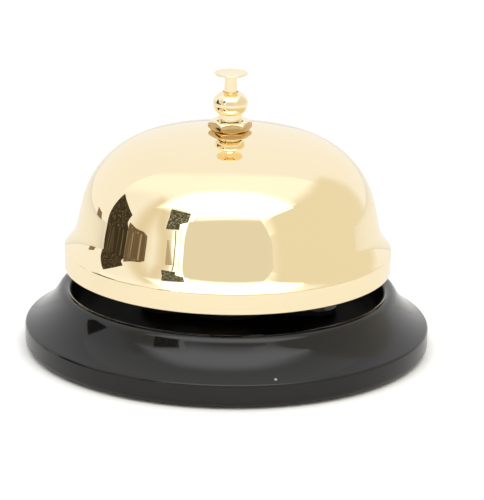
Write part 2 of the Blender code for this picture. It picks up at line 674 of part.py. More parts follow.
def make_frame():
    top = FRAME_BOTTOM + FRAME_THICKNESS
    left, right = FRAME_SCREW_XS
    strap = link((left, 0.0), FRAME_HALF_WIDTH, (right, 0.0), FRAME_HALF_WIDTH)
    frame = extruded("striker_frame", strap, FRAME_BOTTOM, top, BLACK_STEEL)
    weld(frame, turned("frame_hub", disc(FRAME_HUB_RADIUS, FRAME_BOTTOM, top), steps=HUB_STEPS))
    hub_hole = disc(POST_RADIUS + CLEARANCE, FRAME_BOTTOM - MM, top + MM)
    cut(frame, turned("frame_post_hole", hub_hole, steps=HUB_HOLE_STEPS))
    for index, x in enumerate(FRAME_SCREW_XS):
        hole = disc(SCREW_HOLE_RADIUS, FRAME_BOTTOM - MM, top + MM)
        cut(frame, turned(f"frame_hole_{index}", hole, steps=HOLE_STEPS, place=at(x)))
        seat = top + CLEARANCE
        make_screw(f"frame_screw_{index + 1}", x, 0.0, seat, FRAME_SCREW_POINT, FRAME_SCREW_HEAD)
    make_ears(frame)


# ---- hammer ----

def make_pin():
    ear_face = EAR_OUTSIDE + CLEARANCE
    head_end = ear_face + PIN_HEAD_THICKNESS
    outline = [
        (0.0, -PIN_END), (PIN_RADIUS - PIN_CHAMFER, -PIN_END), (PIN_RADIUS, PIN_CHAMFER - PIN_END),
        (PIN_RADIUS, ear_face), (PIN_HEAD_RADIUS, ear_face),
        (PIN_HEAD_RADIUS, ear_face + PIN_HEAD_THICKNESS / 2),
        (PIN_HEAD_RADIUS * PIN_CROWN_SHARE, head_end), (0.0, head_end),
    ]
    turned("pivot_pin", outline, ZINC, place=standing(PIVOT_X, PIVOT_Z))
    hole = PIN_RADIUS + PIN_CLIP_FIT
    clip = ring(hole, PIN_CLIP_RADIUS, -ear_face - PIN_CLIP_THICKNESS, -ear_face)
    clip_ring = turned("pin_clip", clip, SPRING_STEEL, place=standing(PIVOT_X, PIVOT_Z))
    mouth = box(PIN_CLIP_MOUTH, PIN_CLIP_REACH, -ear_face - MM, -ear_face + MM)
    mouth_place = standing(PIVOT_X, PIVOT_Z - PIN_CLIP_REACH / 2)
    cut(clip_ring, extruded("clip_mouth", *mouth, place=mouth_place))
    half_arm = ARM_THICKNESS / 2
    spacer = ring(hole, SPACER_RADIUS, half_arm + CLEARANCE, EAR_INSIDE - CLEARANCE)
    turned("arm_spacer", spacer, BRASS, place=standing(PIVOT_X, PIVOT_Z))


def make_hammer(axis):
    half = ARM_THICKNESS / 2
    across = standing()
    pivot = (PIVOT_X, PIVOT_Z)
    head = (HEAD_X, HEAD_Z)
    heading = math.degrees(math.atan2(HEAD_Z - PIVOT_Z, HEAD_X - PIVOT_X))

    tail = link(pivot, ARM_EYE_RADIUS, (TAIL_X, PIVOT_Z), TAIL_RADIUS)
    arm = extruded("hammer_arm", tail, -half, half, ZINC, across)
    lever = link(pivot, ARM_HALF_WIDTH, head, HEAD_EYE_RADIUS)
    lever_half = half - LEVER_INSET
    weld(arm, extruded("long_arm", lever, -lever_half, lever_half, place=across))
    pin_hole = disc(PIN_RADIUS + PIN_RUNNING_FIT, -2 * half, 2 * half)
    cut(arm, turned("arm_pin_hole", pin_hole, place=standing(*pivot)))
    rivet_hole = disc(RIVET_HOLE_RADIUS, -2 * HEAD_HALF_LENGTH, 2 * HEAD_HALF_LENGTH)
    cut(arm, turned("arm_rivet_hole", rivet_hole, steps=RIVET_STEPS, place=standing(*head)))

    slug_outline = [
        (0.0, -HEAD_HALF_LENGTH), (HEAD_RADIUS - HEAD_CHAMFER, -HEAD_HALF_LENGTH),
        (HEAD_RADIUS, HEAD_CHAMFER - HEAD_HALF_LENGTH), (HEAD_RADIUS, HEAD_HALF_LENGTH - HEAD_CHAMFER),
        (HEAD_RADIUS - HEAD_CHAMFER, HEAD_HALF_LENGTH), (0.0, HEAD_HALF_LENGTH),
    ]
    slug = turned("hammer_head", slug_outline, BRASS, place=standing(*head))
    shift = at(HEAD_SLOT_REACH - HEAD_SLOT_LENGTH / 2)
    turn = Matrix.Rotation(math.radians(heading), 4, "Z")
    half_slot = HEAD_SLOT_WIDTH / 2
    slot = box(HEAD_SLOT_LENGTH, HEAD_SLOT_HEIGHT, -half_slot, half_slot)
    cut(slug, extruded("head_slot", *slot, place=standing(*head) @ turn @ shift))
    cut(slug, turned("head_rivet_hole", rivet_hole, steps=RIVET_STEPS, place=standing(*head)))

    seat = HEAD_HALF_LENGTH + CLEARANCE
    end = seat + RIVET_HEAD_THICKNESS
    flat = RIVET_HEAD_RADIUS * RIVET_CROWN_SHARE
    rivet = [
        (0.0, -end), (flat, -end), (RIVET_HEAD_RADIUS, -seat), (RIVET_RADIUS, -seat),
        (RIVET_RADIUS, seat), (RIVET_HEAD_RADIUS, seat), (flat, end), (0.0, end),
    ]
    riveted = turned("hammer_rivet", rivet, ZINC, steps=RIVET_STEPS, place=standing(*head))
    rest_on(axis, arm, slug, riveted)


def rounded_corner(before, corner, after, radius, steps=3):
    """Points that round one corner of a wire, with tangents along its two legs."""
    start = [c + (b - c) * radius / math.dist(before, corner) for b, c in zip(before, corner)]
    end = [c + (a - c) * radius / math.dist(after, corner) for a, c in zip(after, corner)]
    points = []
    for step in range(steps + 1):
        t = step / steps
        points.append(tuple(
            (1 - t) ** 2 * s + 2 * t * (1 - t) * c + t**2 * e for s, c, e in zip(start, corner, end)
        ))
    return points


def make_hammer_spring():
    """From a hook over the arm, round the pin, to a leg that ends in a hole in the ear."""
    heading = math.atan2(HEAD_Z - PIVOT_Z, HEAD_X - PIVOT_X)
    along = (math.cos(heading), math.sin(heading))
    up = (-math.sin(heading), math.cos(heading))

    def on_arm(distance, offset, y):
        return (
            PIVOT_X + along[0] * distance + up[0] * offset, y,
            PIVOT_Z + along[1] * distance + up[1] * offset,
        )

    hook_end = on_arm(TORSION_LEG, TORSION_HOOK_OFFSET, -ARM_THICKNESS / 2 - TORSION_HOOK_END)
    hook_corner = on_arm(TORSION_LEG, TORSION_HOOK_OFFSET, TORSION_ARM_SIDE)
    leg_offset = TORSION_RADIUS + TORSION_LEG_LIFT
    leg_start = on_arm(TORSION_LEG_START, leg_offset, TORSION_ARM_SIDE)
    path = [hook_end]
    path += rounded_corner(hook_end, hook_corner, leg_start, TORSION_BEND)
    path += [leg_start]
    first = math.degrees(heading) + 90
    last = 180.0 + 360.0 * TORSION_TURNS
    for step in range(TORSION_STEPS + 1):
        share = step / TORSION_STEPS
        angle = math.radians(first + (last - first) * share)
        x = PIVOT_X + TORSION_RADIUS * math.cos(angle)
        y = TORSION_ARM_SIDE + (TORSION_EAR_SIDE - TORSION_ARM_SIDE) * share
        path.append((x, y, PIVOT_Z + TORSION_RADIUS * math.sin(angle)))
    ear_corner = (SPRING_ANCHOR_X, TORSION_EAR_SIDE, SPRING_ANCHOR_Z)
    ear_end = (SPRING_ANCHOR_X, TORSION_END, SPRING_ANCHOR_Z)
    path += rounded_corner(path[-1], ear_corner, ear_end, TORSION_BEND)
    path += [ear_end]
    wire("hammer_spring", path, TORSION_WIRE, SPRING_STEEL)


clear_scene()
make_base()
make_underside()
make_gong()
make_post()
make_crown_fittings()
make_frame()
make_pin()
make_hammer_spring()
make_plunger(joint_marker("plunger_axis", 0.0, 0.0, 0.0))
make_hammer(joint_marker("hammer_axis", PIVOT_X, 0.0, PIVOT_Z))
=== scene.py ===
"""Looks of the counter bell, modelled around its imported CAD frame.

Each sub-assembly is a class that builds its pieces with Blender's own modelling operators,
dresses them in a finish and hangs them on the body that they move with. Lengths are metres.
"""

import logging
import math
from dataclasses import dataclass, field
from enum import Enum

import bpy
from mathutils import Matrix, Vector


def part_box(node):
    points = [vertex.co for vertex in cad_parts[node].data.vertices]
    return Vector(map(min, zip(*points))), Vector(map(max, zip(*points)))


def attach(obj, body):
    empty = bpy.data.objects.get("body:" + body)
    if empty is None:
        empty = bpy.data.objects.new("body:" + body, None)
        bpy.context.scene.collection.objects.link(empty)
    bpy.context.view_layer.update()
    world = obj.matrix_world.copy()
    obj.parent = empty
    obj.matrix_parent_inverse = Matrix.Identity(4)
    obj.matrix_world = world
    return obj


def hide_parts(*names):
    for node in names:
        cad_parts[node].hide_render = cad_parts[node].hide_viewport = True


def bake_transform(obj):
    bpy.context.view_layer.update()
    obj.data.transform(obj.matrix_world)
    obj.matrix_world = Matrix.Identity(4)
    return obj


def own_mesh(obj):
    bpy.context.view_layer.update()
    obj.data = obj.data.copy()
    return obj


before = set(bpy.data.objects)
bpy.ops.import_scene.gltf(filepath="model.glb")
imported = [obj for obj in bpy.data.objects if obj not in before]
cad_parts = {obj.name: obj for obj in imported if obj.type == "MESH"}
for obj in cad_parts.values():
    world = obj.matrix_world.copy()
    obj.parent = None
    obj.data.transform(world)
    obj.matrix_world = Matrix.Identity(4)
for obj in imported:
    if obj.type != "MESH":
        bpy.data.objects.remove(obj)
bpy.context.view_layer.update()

LOG = logging.getLogger("bell")
MM = 0.001

Flat = tuple[float, float]
Place = tuple[float, float, float]
Colour = tuple[float, float, float]

ORIGIN: Place = (0.0, 0.0, 0.0)
WELD = 1e-6

# Edges flatter than these, in degrees, are shaded smooth: on plain pieces and on bevelled ones.
ROUND_ANGLE = 32.0
BEVEL_ANGLE = 50.0

# Lengths of the drills that go through one plate, and across a whole piece.
PLATE_DRILL = 4.0 * MM
CROSS_DRILL = 12.0 * MM

# Sizes that more than one sub-assembly shares. A Flat in the hammer's plane is (x, z).
GONG_HOLE = 2.75 * MM
POST_CLEARANCE = 4.75 * MM
SCREW_CLEARANCE = 1.4 * MM
FRAME_SCREWS = (-13.5 * MM, 18.5 * MM)
PIVOT: Flat = (12.0 * MM, 27.0 * MM)
SPRING_ANCHOR: Flat = (10.05 * MM, 18.5 * MM)

# Inside the dish's lip the moulding is matte, and its specular level is cut nearly to nothing there as
# painted shade
# that darkens the recess under the gong: radii between which it changes, what that adds to the roughness,
# and the specular level outside and inside.
WELL_EDGE = 33.6 * MM
WELL_INSIDE = 32.6 * MM
WELL_DULLING = 0.4
GLOSS_LEVEL = 0.5
# Specular level inside the lip: painted shade in the recess under the gong.
WELL_SHADE_LEVEL = 0.02

DRIFT_SCALE = 45.0
DUST_COLOUR = (0.32, 0.31, 0.3, 1.0)

# The pattern in the studio's dark surfaces: its scale, and where in the noise it brightens.
GRAIN_SCALE = 34.0
GRAIN_EDGES: Flat = (0.52, 0.68)

# Height that the camera orbits and the studio surfaces are aimed from.
MIDDLE_HEIGHT = 30.0 * MM


class Body(Enum):
    """The CAD bodies that a piece can move with."""

    ROOT = "root"
    PLUNGER = "plunger"
    HAMMER = "hammer"


class Axis(Enum):
    """Directions that a turned piece or a cutter can lie along, as Euler angles."""

    UP = ORIGIN
    DOWN = (math.pi, 0.0, 0.0)
    FRONT = (math.pi / 2, 0.0, 0.0)
    SIDE = (0.0, math.pi / 2, 0.0)


def arc(centre: Flat, radius: float, first: float, last: float, steps: int) -> list[Flat]:
    """Points along an arc, both ends included.

    Args:
        centre: The arc's centre.
        radius: Its radius.
        first: Direction of the first point, in degrees.
        last: Direction of the last point, in degrees.
        steps: How many equal steps the arc is cut into.

    Returns:
        The points, in order.
    """
    points = []
    for step in range(steps + 1):
        angle = math.radians(first + (last - first) * step / steps)
        points.append((centre[0] + radius * math.cos(angle), centre[1] + radius * math.sin(angle)))
    return points


def link(start: Flat, start_radius: float, end: Flat, end_radius: float, steps: int = 24) -> list[Flat]:
    """Outline of two round ends joined by their outer tangents.

    Args:
        start: Centre of one end.
        start_radius: Radius of that end.
        end: Centre of the other end.
        end_radius: Radius of the other end.
        steps: How many steps each round end is cut into.

    Returns:
        The closed outline's points.
    """
    span = (end[0] - start[0], end[1] - start[1])
    heading = math.degrees(math.atan2(span[1], span[0]))
    spread = math.degrees(math.acos((start_radius - end_radius) / math.hypot(*span)))
    near_end = arc(end, end_radius, heading - spread, heading + spread, steps)
    return near_end + arc(start, start_radius, heading + spread, heading + 360 - spread, steps)


def washer(hole: float, radius: float, low: float, high: float, edge: float) -> list[Flat]:
    """Outline of a flat washer whose outer edges are broken."""
    return [
        (hole, low), (radius - edge, low), (radius, low + edge),
        (radius, high - edge), (radius - edge, high), (hole, high),
    ]


def node_size(node: str) -> tuple[float, float, float]:
    """Radius, bottom and top of a CAD node that is turned about the bell's axis."""
    low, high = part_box(node)
    return (high.x - low.x) / 2, low.z, high.z


def add_node(
    tree: bpy.types.NodeTree,
    kind: str,
    inputs: dict[str | int, object] | None = None,
    **settings: object,
) -> bpy.types.Node:
    """Adds a shader node.

    Args:
        tree: The node tree that it goes in.
        kind: The node's type.
        inputs: For each input, by name or number, its value or the socket that feeds it.
        settings: The node's own settings.

    Returns:
        The node.
    """
    node = tree.nodes.new(kind)
    for name, value in settings.items():
        setattr(node, name, value)
    for key, value in (inputs or {}).items():
        if isinstance(value, bpy.types.NodeSocket):
            tree.links.new(value, node.inputs[key])
        else:
            node.inputs[key].default_value = value
    return node


class Bench:
    """Modelling moves, each made with Blender's operators on one piece at a time."""

    @staticmethod
    def deselect() -> None:
        """Clears the selection, because operators act on all that is selected."""
        bpy.ops.object.select_all(action="DESELECT")

    @staticmethod
    def pick(piece: bpy.types.Object) -> None:
        """Makes a piece the only one selected, and the active one."""
        Bench.deselect()
        piece.select_set(True)
        bpy.context.view_layer.objects.active = piece

    @staticmethod
    def trace(name: str, points: list[Place], closed: bool) -> bpy.types.Object:
        """Draws a line of edges and stays in edit mode.

        Args:
            name: The new object's name.
            points: The line's points.
            closed: Whether its last point is joined to its first.

        Returns:
            The object, in edit mode.
        """
        Bench.deselect()
        bpy.ops.mesh.primitive_plane_add(size=MM, location=points[0])
        piece = bpy.context.object
        piece.name = name
        piece.data.name = name
        bpy.ops.object.transform_apply(location=True, rotation=True, scale=True)
        bpy.ops.object.mode_set(mode="EDIT")
        bpy.ops.mesh.select_all(action="SELECT")
        bpy.ops.mesh.merge(type="CENTER")
        for before, after in zip(points, points[1:] + (points[:1] if closed else [])):
            move = tuple(b - a for a, b in zip(before, after))
            bpy.ops.mesh.extrude_vertices_move(TRANSFORM_OT_translate={"value": move})
        bpy.ops.mesh.select_all(action="SELECT")
        if closed:
            bpy.ops.mesh.remove_doubles(threshold=WELD)
        return piece

    @staticmethod
    def finish_mesh(piece: bpy.types.Object, angle: float = ROUND_ANGLE) -> bpy.types.Object:
        """Closes the seams, turns the faces out and shades the round surfaces smooth."""
        bpy.ops.mesh.select_all(action="SELECT")
        bpy.ops.mesh.remove_doubles(threshold=WELD)
        bpy.ops.mesh.normals_make_consistent(inside=False)
        bpy.ops.object.mode_set(mode="OBJECT")
        Bench.smooth(piece, angle)
        return piece

    @staticmethod
    def smooth(piece: bpy.types.Object, angle: float = ROUND_ANGLE) -> None:
        """Shades smooth across edges flatter than the angle, in degrees."""
        Bench.pick(piece)
        bpy.ops.object.shade_smooth_by_angle(angle=math.radians(angle))

    @staticmethod
    def turn(
        name: str,
        outline: list[Flat],
        steps: int,
        axis: Axis = Axis.UP,
        place: Place = ORIGIN,
    ) -> bpy.types.Object:
        """Turns a solid on a lathe: spins an outline of (radius, height) about its own axis.

        Args:
            name: The piece's name.
            outline: The outline's points. Where it starts and ends on the axis, it stays open there.
            steps: How many sides the piece gets.
            axis: The way its axis points when it is in place.
            place: Where its own origin goes.

        Returns:
            The finished piece.
        """
        on_axis = outline[0][0] == 0.0 and outline[-1][0] == 0.0
        piece = Bench.trace(name, [(r, 0.0, z) for r, z in outline], closed=not on_axis)
        bpy.ops.mesh.spin(steps=steps, angle=math.tau, center=(0, 0, 0), axis=(0, 0, 1))
        Bench.finish_mesh(piece)
        Bench.put(piece, axis, place)
        return piece

    @staticmethod
    def put(piece: bpy.types.Object, axis: Axis, place: Place) -> None:
        """Turns and moves a piece, then keeps its place in its mesh."""
        Bench.pick(piece)
        piece.rotation_euler = axis.value
        piece.location = place
        bpy.ops.object.transform_apply(location=True, rotation=True, scale=True)

    @staticmethod
    def plate(
        name: str, outline: list[Flat], low: float, high: float, axis: Axis = Axis.UP,
        place: Place = ORIGIN,
    ) -> bpy.types.Object:
        """Cuts a flat plate: fills an outline and extrudes it from one height to another.

        Args:
            name: The piece's name.
            outline: The plate's outline.
            low: Height of its lower face.
            high: Height of its upper face.
            axis: The way its own upward direction points when it is in place.
            place: Where its own origin goes.

        Returns:
            The finished piece.
        """
        piece = Bench.trace(name, [(x, y, low) for x, y in outline], closed=True)
        bpy.ops.mesh.edge_face_add()
        bpy.ops.mesh.extrude_region_move(TRANSFORM_OT_translate={"value": (0, 0, high - low)})
        Bench.finish_mesh(piece)
        Bench.put(piece, axis, place)
        return piece

    @staticmethod
    def combine(piece: bpy.types.Object, other: bpy.types.Object, how: str) -> None:
        """Joins, cuts or trims a piece with another solid, which is used up.

        Args:
            piece: The piece that is changed.
            other: The other solid.
            how: UNION, DIFFERENCE or INTERSECT.
        """
        change = piece.modifiers.new(how.lower(), "BOOLEAN")
        change.operation = how
        change.solver = "EXACT"
        change.object = other
        Bench.pick(piece)
        bpy.ops.object.modifier_apply(modifier=change.name)
        bpy.data.objects.remove(other)

    @staticmethod
    def drill(
        piece: bpy.types.Object, place: Place, radius: float, depth: float,
        axis: Axis = Axis.UP, steps: int = 48,
    ) -> None:
        """Drills a round hole.

        Args:
            piece: The piece that is drilled.
            place: The middle of the hole's length.
            radius: The hole's radius.
            depth: The hole's length.
            axis: The way that it runs.
            steps: How many sides the hole gets.
        """
        Bench.deselect()
        bpy.ops.mesh.primitive_cylinder_add(
            vertices=steps, radius=radius, depth=depth, location=place, rotation=axis.value
        )
        Bench.combine(piece, bpy.context.object, "DIFFERENCE")

    @staticmethod
    def mill(piece: bpy.types.Object, centre: Place, size: Place, turn: float = 0.0) -> None:
        """Mills a square pocket.

        Args:
            piece: The piece that is milled.
            centre: The pocket's middle.
            size: Its size along each axis.
            turn: How far it is turned about Y, in radians.
        """
        Bench.deselect()
        bpy.ops.mesh.primitive_cube_add(size=1.0, location=centre, rotation=(0.0, turn, 0.0), scale=size)
        bpy.ops.object.transform_apply(location=True, rotation=True, scale=True)
        Bench.combine(piece, bpy.context.object, "DIFFERENCE")

    @staticmethod
    def break_edges(
        piece: bpy.types.Object, width: float, segments: int = 3, angle: float = 40.0
    ) -> None:
        """Rounds a piece's sharp edges.

        Args:
            piece: The piece.
            width: The rounding's width.
            segments: How many flats make it up.
            angle: Edges sharper than this, in degrees, are rounded.
        """
        Bench.pick(piece)
        bevel = piece.modifiers.new("edges", "BEVEL")
        bevel.width = width
        bevel.segments = segments
        bevel.limit_method = "ANGLE"
        bevel.angle_limit = math.radians(angle)
        bpy.ops.object.modifier_apply(modifier=bevel.name)
        Bench.smooth(piece, BEVEL_ANGLE)

    @staticmethod
    def bend_wire(name: str, path: list[Place], radius: float) -> bpy.types.Object:
        """Bends a round wire.

        Args:
            name: The piece's name.
            path: The places that it runs through.
            radius: The wire's radius.

        Returns:
            The wire, as a closed mesh.
        """
        Bench.deselect()
        bpy.ops.curve.primitive_nurbs_path_add()
        piece = bpy.context.object
        piece.name = name
        curve = piece.data
        curve.splines.clear()
        spline = curve.splines.new("POLY")
        spline.points.add(len(path) - 1)
        for point, place in zip(spline.points, path):
            point.co = (*place, 1.0)
        curve.bevel_depth = radius
        curve.bevel_resolution = 4
        curve.use_fill_caps = True
        bpy.ops.object.transform_apply(location=True, rotation=True, scale=True)
        bpy.ops.object.convert(target="MESH")
        bpy.ops.object.mode_set(mode="EDIT")
        return Bench.finish_mesh(bpy.context.object, BEVEL_ANGLE)


class Marks(Enum):
    """Which shared effect gives a finish its fine surface."""

    HANDLING = "handling_marks"
    TOOL = "tool_marks"


class EffectGroups:
    """Shader node groups that several finishes share, each built once."""

    _made: dict[str, bpy.types.NodeTree] = {}

    @classmethod
    def _start(cls, name: str, inputs: dict[str, float], outputs: list[str]) -> bpy.types.NodeTree:
        """Makes an empty group with a vector input, float inputs with defaults and float outputs."""
        group = bpy.data.node_groups.new(name, "ShaderNodeTree")
        group.interface.new_socket("Vector", in_out="INPUT", socket_type="NodeSocketVector")
        for socket, value in inputs.items():
            made = group.interface.new_socket(socket, in_out="INPUT", socket_type="NodeSocketFloat")
            made.default_value = value
        for socket in outputs:
            group.interface.new_socket(socket, in_out="OUTPUT", socket_type="NodeSocketFloat")
        group.nodes.new("NodeGroupInput")
        group.nodes.new("NodeGroupOutput")
        cls._made[name] = group
        return group

    @staticmethod
    def _math(
        group: bpy.types.NodeTree, operation: str, first: object, second: object, clamp: bool = False
    ) -> bpy.types.NodeSocket:
        """Adds a Math node whose operands are sockets or numbers, and returns its output."""
        inputs = {0: first, 1: second}
        return add_node(
            group, "ShaderNodeMath", inputs, operation=operation, use_clamp=clamp
        ).outputs[0]

    @staticmethod
    def _noise(
        group: bpy.types.NodeTree, vector: bpy.types.NodeSocket, scale: object, detail: float
    ) -> bpy.types.NodeSocket:
        """Adds a Noise texture and returns its factor."""
        inputs = {"Vector": vector, "Scale": scale, "Detail": detail}
        return add_node(group, "ShaderNodeTexNoise", inputs).outputs["Fac"]

    @classmethod
    def handling(cls) -> bpy.types.NodeTree:
        """Soft smudges that dull a polish, and the slight unevenness of a plated or moulded skin.

        Returns:
            A group with inputs Scale, Roughness, Smudge and Waviness, and outputs Roughness and Height.
        """
        name = Marks.HANDLING.value
        if name in cls._made:
            return cls._made[name]
        inputs = {"Scale": 60.0, "Roughness": 0.05, "Smudge": 0.05, "Waviness": 1.0}
        group = cls._start(name, inputs, ["Roughness", "Height"])
        source = group.nodes["Group Input"].outputs
        drain = group.nodes["Group Output"].inputs
        cloud = cls._noise(group, source["Vector"], source["Scale"], 5.0)
        clean_share = 0.45
        patch = cls._math(group, "SUBTRACT", cloud, clean_share, clamp=True)
        dulled = cls._math(group, "MULTIPLY", patch, source["Smudge"])
        group.links.new(cls._math(group, "ADD", dulled, source["Roughness"]), drain["Roughness"])
        swell_scale = 55.0
        swell = cls._noise(group, source["Vector"], swell_scale, 1.0)
        group.links.new(cls._math(group, "MULTIPLY", swell, source["Waviness"]), drain["Height"])
        return group

    @classmethod
    def specks(cls) -> bpy.types.NodeTree:
        """Scattered fine dust.

        Returns:
            A group with inputs Scale, Size and Share, and an output Mask.
        """
        name = "dust_specks"
        if name in cls._made:
            return cls._made[name]
        group = cls._start(name, {"Scale": 500.0, "Size": 0.16, "Share": 0.06}, ["Mask"])
        source = group.nodes["Group Input"].outputs
        spread = {"Vector": source["Vector"], "Scale": source["Scale"]}
        cells = add_node(group, "ShaderNodeTexVoronoi", spread)
        near = cls._math(group, "LESS_THAN", cells.outputs["Distance"], source["Size"])
        split = add_node(group, "ShaderNodeSeparateColor", {0: cells.outputs["Color"]})
        chosen = cls._math(group, "LESS_THAN", split.outputs[0], source["Share"])
        mask = cls._math(group, "MULTIPLY", near, chosen)
        group.links.new(mask, group.nodes["Group Output"].inputs["Mask"])
        return group

    @classmethod
    def tool_marks(cls) -> bpy.types.NodeTree:
        """Fine rings left by a lathe, or straight drawing lines, from coordinates stretched to suit.

        Returns:
            A group with inputs Scale, Roughness, Depth and Contrast, and outputs Roughness and Height.
        """
        name = Marks.TOOL.value
        if name in cls._made:
            return cls._made[name]
        inputs = {"Scale": 900.0, "Roughness": 0.3, "Depth": 1.0, "Contrast": 0.15}
        group = cls._start(name, inputs, ["Roughness", "Height"])
        source = group.nodes["Group Input"].outputs
        drain = group.nodes["Group Output"].inputs
        stretched = {"Vector": source["Vector"], "Scale": (0.05, 0.05, 1.0)}
        stretch = add_node(group, "ShaderNodeMapping", stretched)
        lines = cls._noise(group, stretch.outputs[0], source["Scale"], 3.0)
        centred = cls._math(group, "SUBTRACT", lines, 0.5)
        varied = cls._math(group, "MULTIPLY", centred, source["Contrast"])
        rough = cls._math(group, "ADD", varied, source["Roughness"], clamp=True)
        group.links.new(rough, drain["Roughness"])
        group.links.new(cls._math(group, "MULTIPLY", lines, source["Depth"]), drain["Height"])
        return group


@dataclass(frozen=True)
class Finish:
    """A finish: a Principled surface with a shared surface effect and a colour that drifts a little.

    Attributes:
        slot: The record's material slot.
        colour: Base colour, linear.
        second: Colour it drifts towards.
        metallic: 1 for metal.
        roughness: The polish's own roughness.
        uneven: How much the effect adds to the roughness.
        relief: Height of the effect's bumps, in metres.
        scale: The effect's texture scale.
        marks: Which effect it has.
        dust: Share of the cells that carry a speck of dust.
        extra: Further sockets of the Principled shader, by name.
        well: Whether it turns matte inside the dish's lip, with painted shade there from a specular level
            cut nearly to nothing.
    """

    slot: str
    colour: Colour
    second: Colour
    metallic: float
    roughness: float
    uneven: float
    relief: float
    scale: float
    marks: Marks = Marks.HANDLING
    dust: float = 0.0
    extra: tuple[tuple[str, float], ...] = field(default_factory=tuple)
    well: bool = False

    def material(self) -> bpy.types.Material:
        """Builds the material once, and gives the same one to every piece in this finish."""
        name = f"{self.slot}_finish"
        if name in bpy.data.materials:
            return bpy.data.materials[name]
        material = bpy.data.materials.new(name)
        material.use_nodes = True
        tree = material.node_tree
        shader = tree.nodes["Principled BSDF"]
        shader.inputs["Metallic"].default_value = self.metallic
        for socket, value in self.extra:
            shader.inputs[socket].default_value = value
        place = tree.nodes.new("ShaderNodeTexCoord").outputs["Object"]
        effect = self._effect(tree, place)
        self._colour(tree, place, shader)
        roughness = effect.outputs["Roughness"]
        if self.well:
            roughness = self._matte_and_shaded_well(tree, place, roughness, shader)
        tree.links.new(roughness, shader.inputs["Roughness"])
        relief = {"Strength": 1.0, "Distance": self.relief, "Height": effect.outputs["Height"]}
        bump = add_node(tree, "ShaderNodeBump", relief)
        tree.links.new(bump.outputs["Normal"], shader.inputs["Normal"])
        return material

    def _effect(self, tree: bpy.types.NodeTree, place: bpy.types.NodeSocket) -> bpy.types.Node:
        """Places the shared effect group and sets its values."""
        handling = self.marks is Marks.HANDLING
        inputs = {"Vector": place, "Scale": self.scale, "Roughness": self.roughness}
        inputs["Smudge" if handling else "Contrast"] = self.uneven
        group = EffectGroups.handling() if handling else EffectGroups.tool_marks()
        return add_node(tree, "ShaderNodeGroup", inputs, node_tree=group)

    @staticmethod
    def _matte_and_shaded_well(
        tree: bpy.types.NodeTree,
        place: bpy.types.NodeSocket,
        roughness: bpy.types.NodeSocket,
        shader: bpy.types.Node,
    ) -> bpy.types.NodeSocket:
        """Leaves the moulding matte inside the lip, and paints shade there by cutting its specular level
        nearly to nothing.

        Args:
            tree: The material's node tree.
            place: The coordinates.
            roughness: The roughness elsewhere.
            shader: The Principled shader, whose specular level it feeds.

        Returns:
            The roughness, with the matte well in it.
        """
        level = {0: place, 1: (1.0, 1.0, 0.0)}
        flat = add_node(tree, "ShaderNodeVectorMath", level, operation="MULTIPLY").outputs[0]
        radius = add_node(tree, "ShaderNodeVectorMath", {0: flat}, operation="LENGTH").outputs["Value"]
        edge = {"Value": radius, "From Min": WELL_EDGE, "From Max": WELL_INSIDE}
        inside = add_node(
            tree, "ShaderNodeMapRange", edge, interpolation_type="SMOOTHSTEP"
        ).outputs["Result"]
        # The specular level falls nearly to nothing inside the lip: painted shade in the recess under the
        # gong.
        levels = {"Value": inside, "To Min": GLOSS_LEVEL, "To Max": WELL_SHADE_LEVEL}
        shine = add_node(tree, "ShaderNodeMapRange", levels)
        tree.links.new(shine.outputs["Result"], shader.inputs["Specular IOR Level"])
        dulling = {0: inside, 1: WELL_DULLING, 2: roughness}
        return add_node(tree, "ShaderNodeMath", dulling, operation="MULTIPLY_ADD").outputs[0]

    def _colour(
        self, tree: bpy.types.NodeTree, place: bpy.types.NodeSocket, shader: bpy.types.Node
    ) -> None:
        """Drifts the base colour between two tones, and lays dust on it where there is any."""
        pattern = {"Vector": place, "Scale": DRIFT_SCALE, "Detail": 4.0}
        cloud = add_node(tree, "ShaderNodeTexNoise", pattern)
        tones = {"Factor": cloud.outputs["Fac"], "A": (*self.colour, 1.0), "B": (*self.second, 1.0)}
        result = add_node(tree, "ShaderNodeMix", tones, data_type="RGBA").outputs["Result"]
        if self.dust:
            share = {"Vector": place, "Share": self.dust}
            specks = add_node(tree, "ShaderNodeGroup", share, node_tree=EffectGroups.specks())
            dusting = {"Factor": specks.outputs["Mask"], "A": result, "B": DUST_COLOUR}
            result = add_node(tree, "ShaderNodeMix", dusting, data_type="RGBA").outputs["Result"]
        tree.links.new(result, shader.inputs["Base Color"])


GOLD_PLATE = Finish(
    "gold_plate", (1.0, 0.865, 0.6), (0.985, 0.845, 0.575),
    metallic=1.0, roughness=0.018, uneven=0.05, relief=0.002 * MM, scale=80.0,
)
BRASS_NUT = Finish(
    "brass_nut", (0.68, 0.49, 0.25), (0.58, 0.41, 0.19),
    metallic=1.0, roughness=0.08, uneven=0.14, relief=0.004 * MM, scale=300.0,
)
TURNED_BRASS = Finish(
    "brass", (0.8, 0.6, 0.27), (0.7, 0.5, 0.2),
    metallic=1.0, roughness=0.28, uneven=0.2, relief=0.01 * MM, scale=2500.0, marks=Marks.TOOL,
)
ZINC_STEEL = Finish(
    "zinc_steel", (0.6, 0.61, 0.64), (0.5, 0.52, 0.56),
    metallic=1.0, roughness=0.26, uneven=0.25, relief=0.008 * MM, scale=2200.0, marks=Marks.TOOL,
)
SPRING_STEEL = Finish(
    "spring_steel", (0.5, 0.5, 0.52), (0.4, 0.4, 0.43),
    metallic=1.0, roughness=0.24, uneven=0.2, relief=0.004 * MM, scale=3000.0, marks=Marks.TOOL,
)
BLACK_STEEL = Finish(
    "black_steel", (0.014, 0.014, 0.015), (0.022, 0.022, 0.024),
    metallic=0.0, roughness=0.34, uneven=0.2, relief=0.02 * MM, scale=700.0, dust=0.02,
)
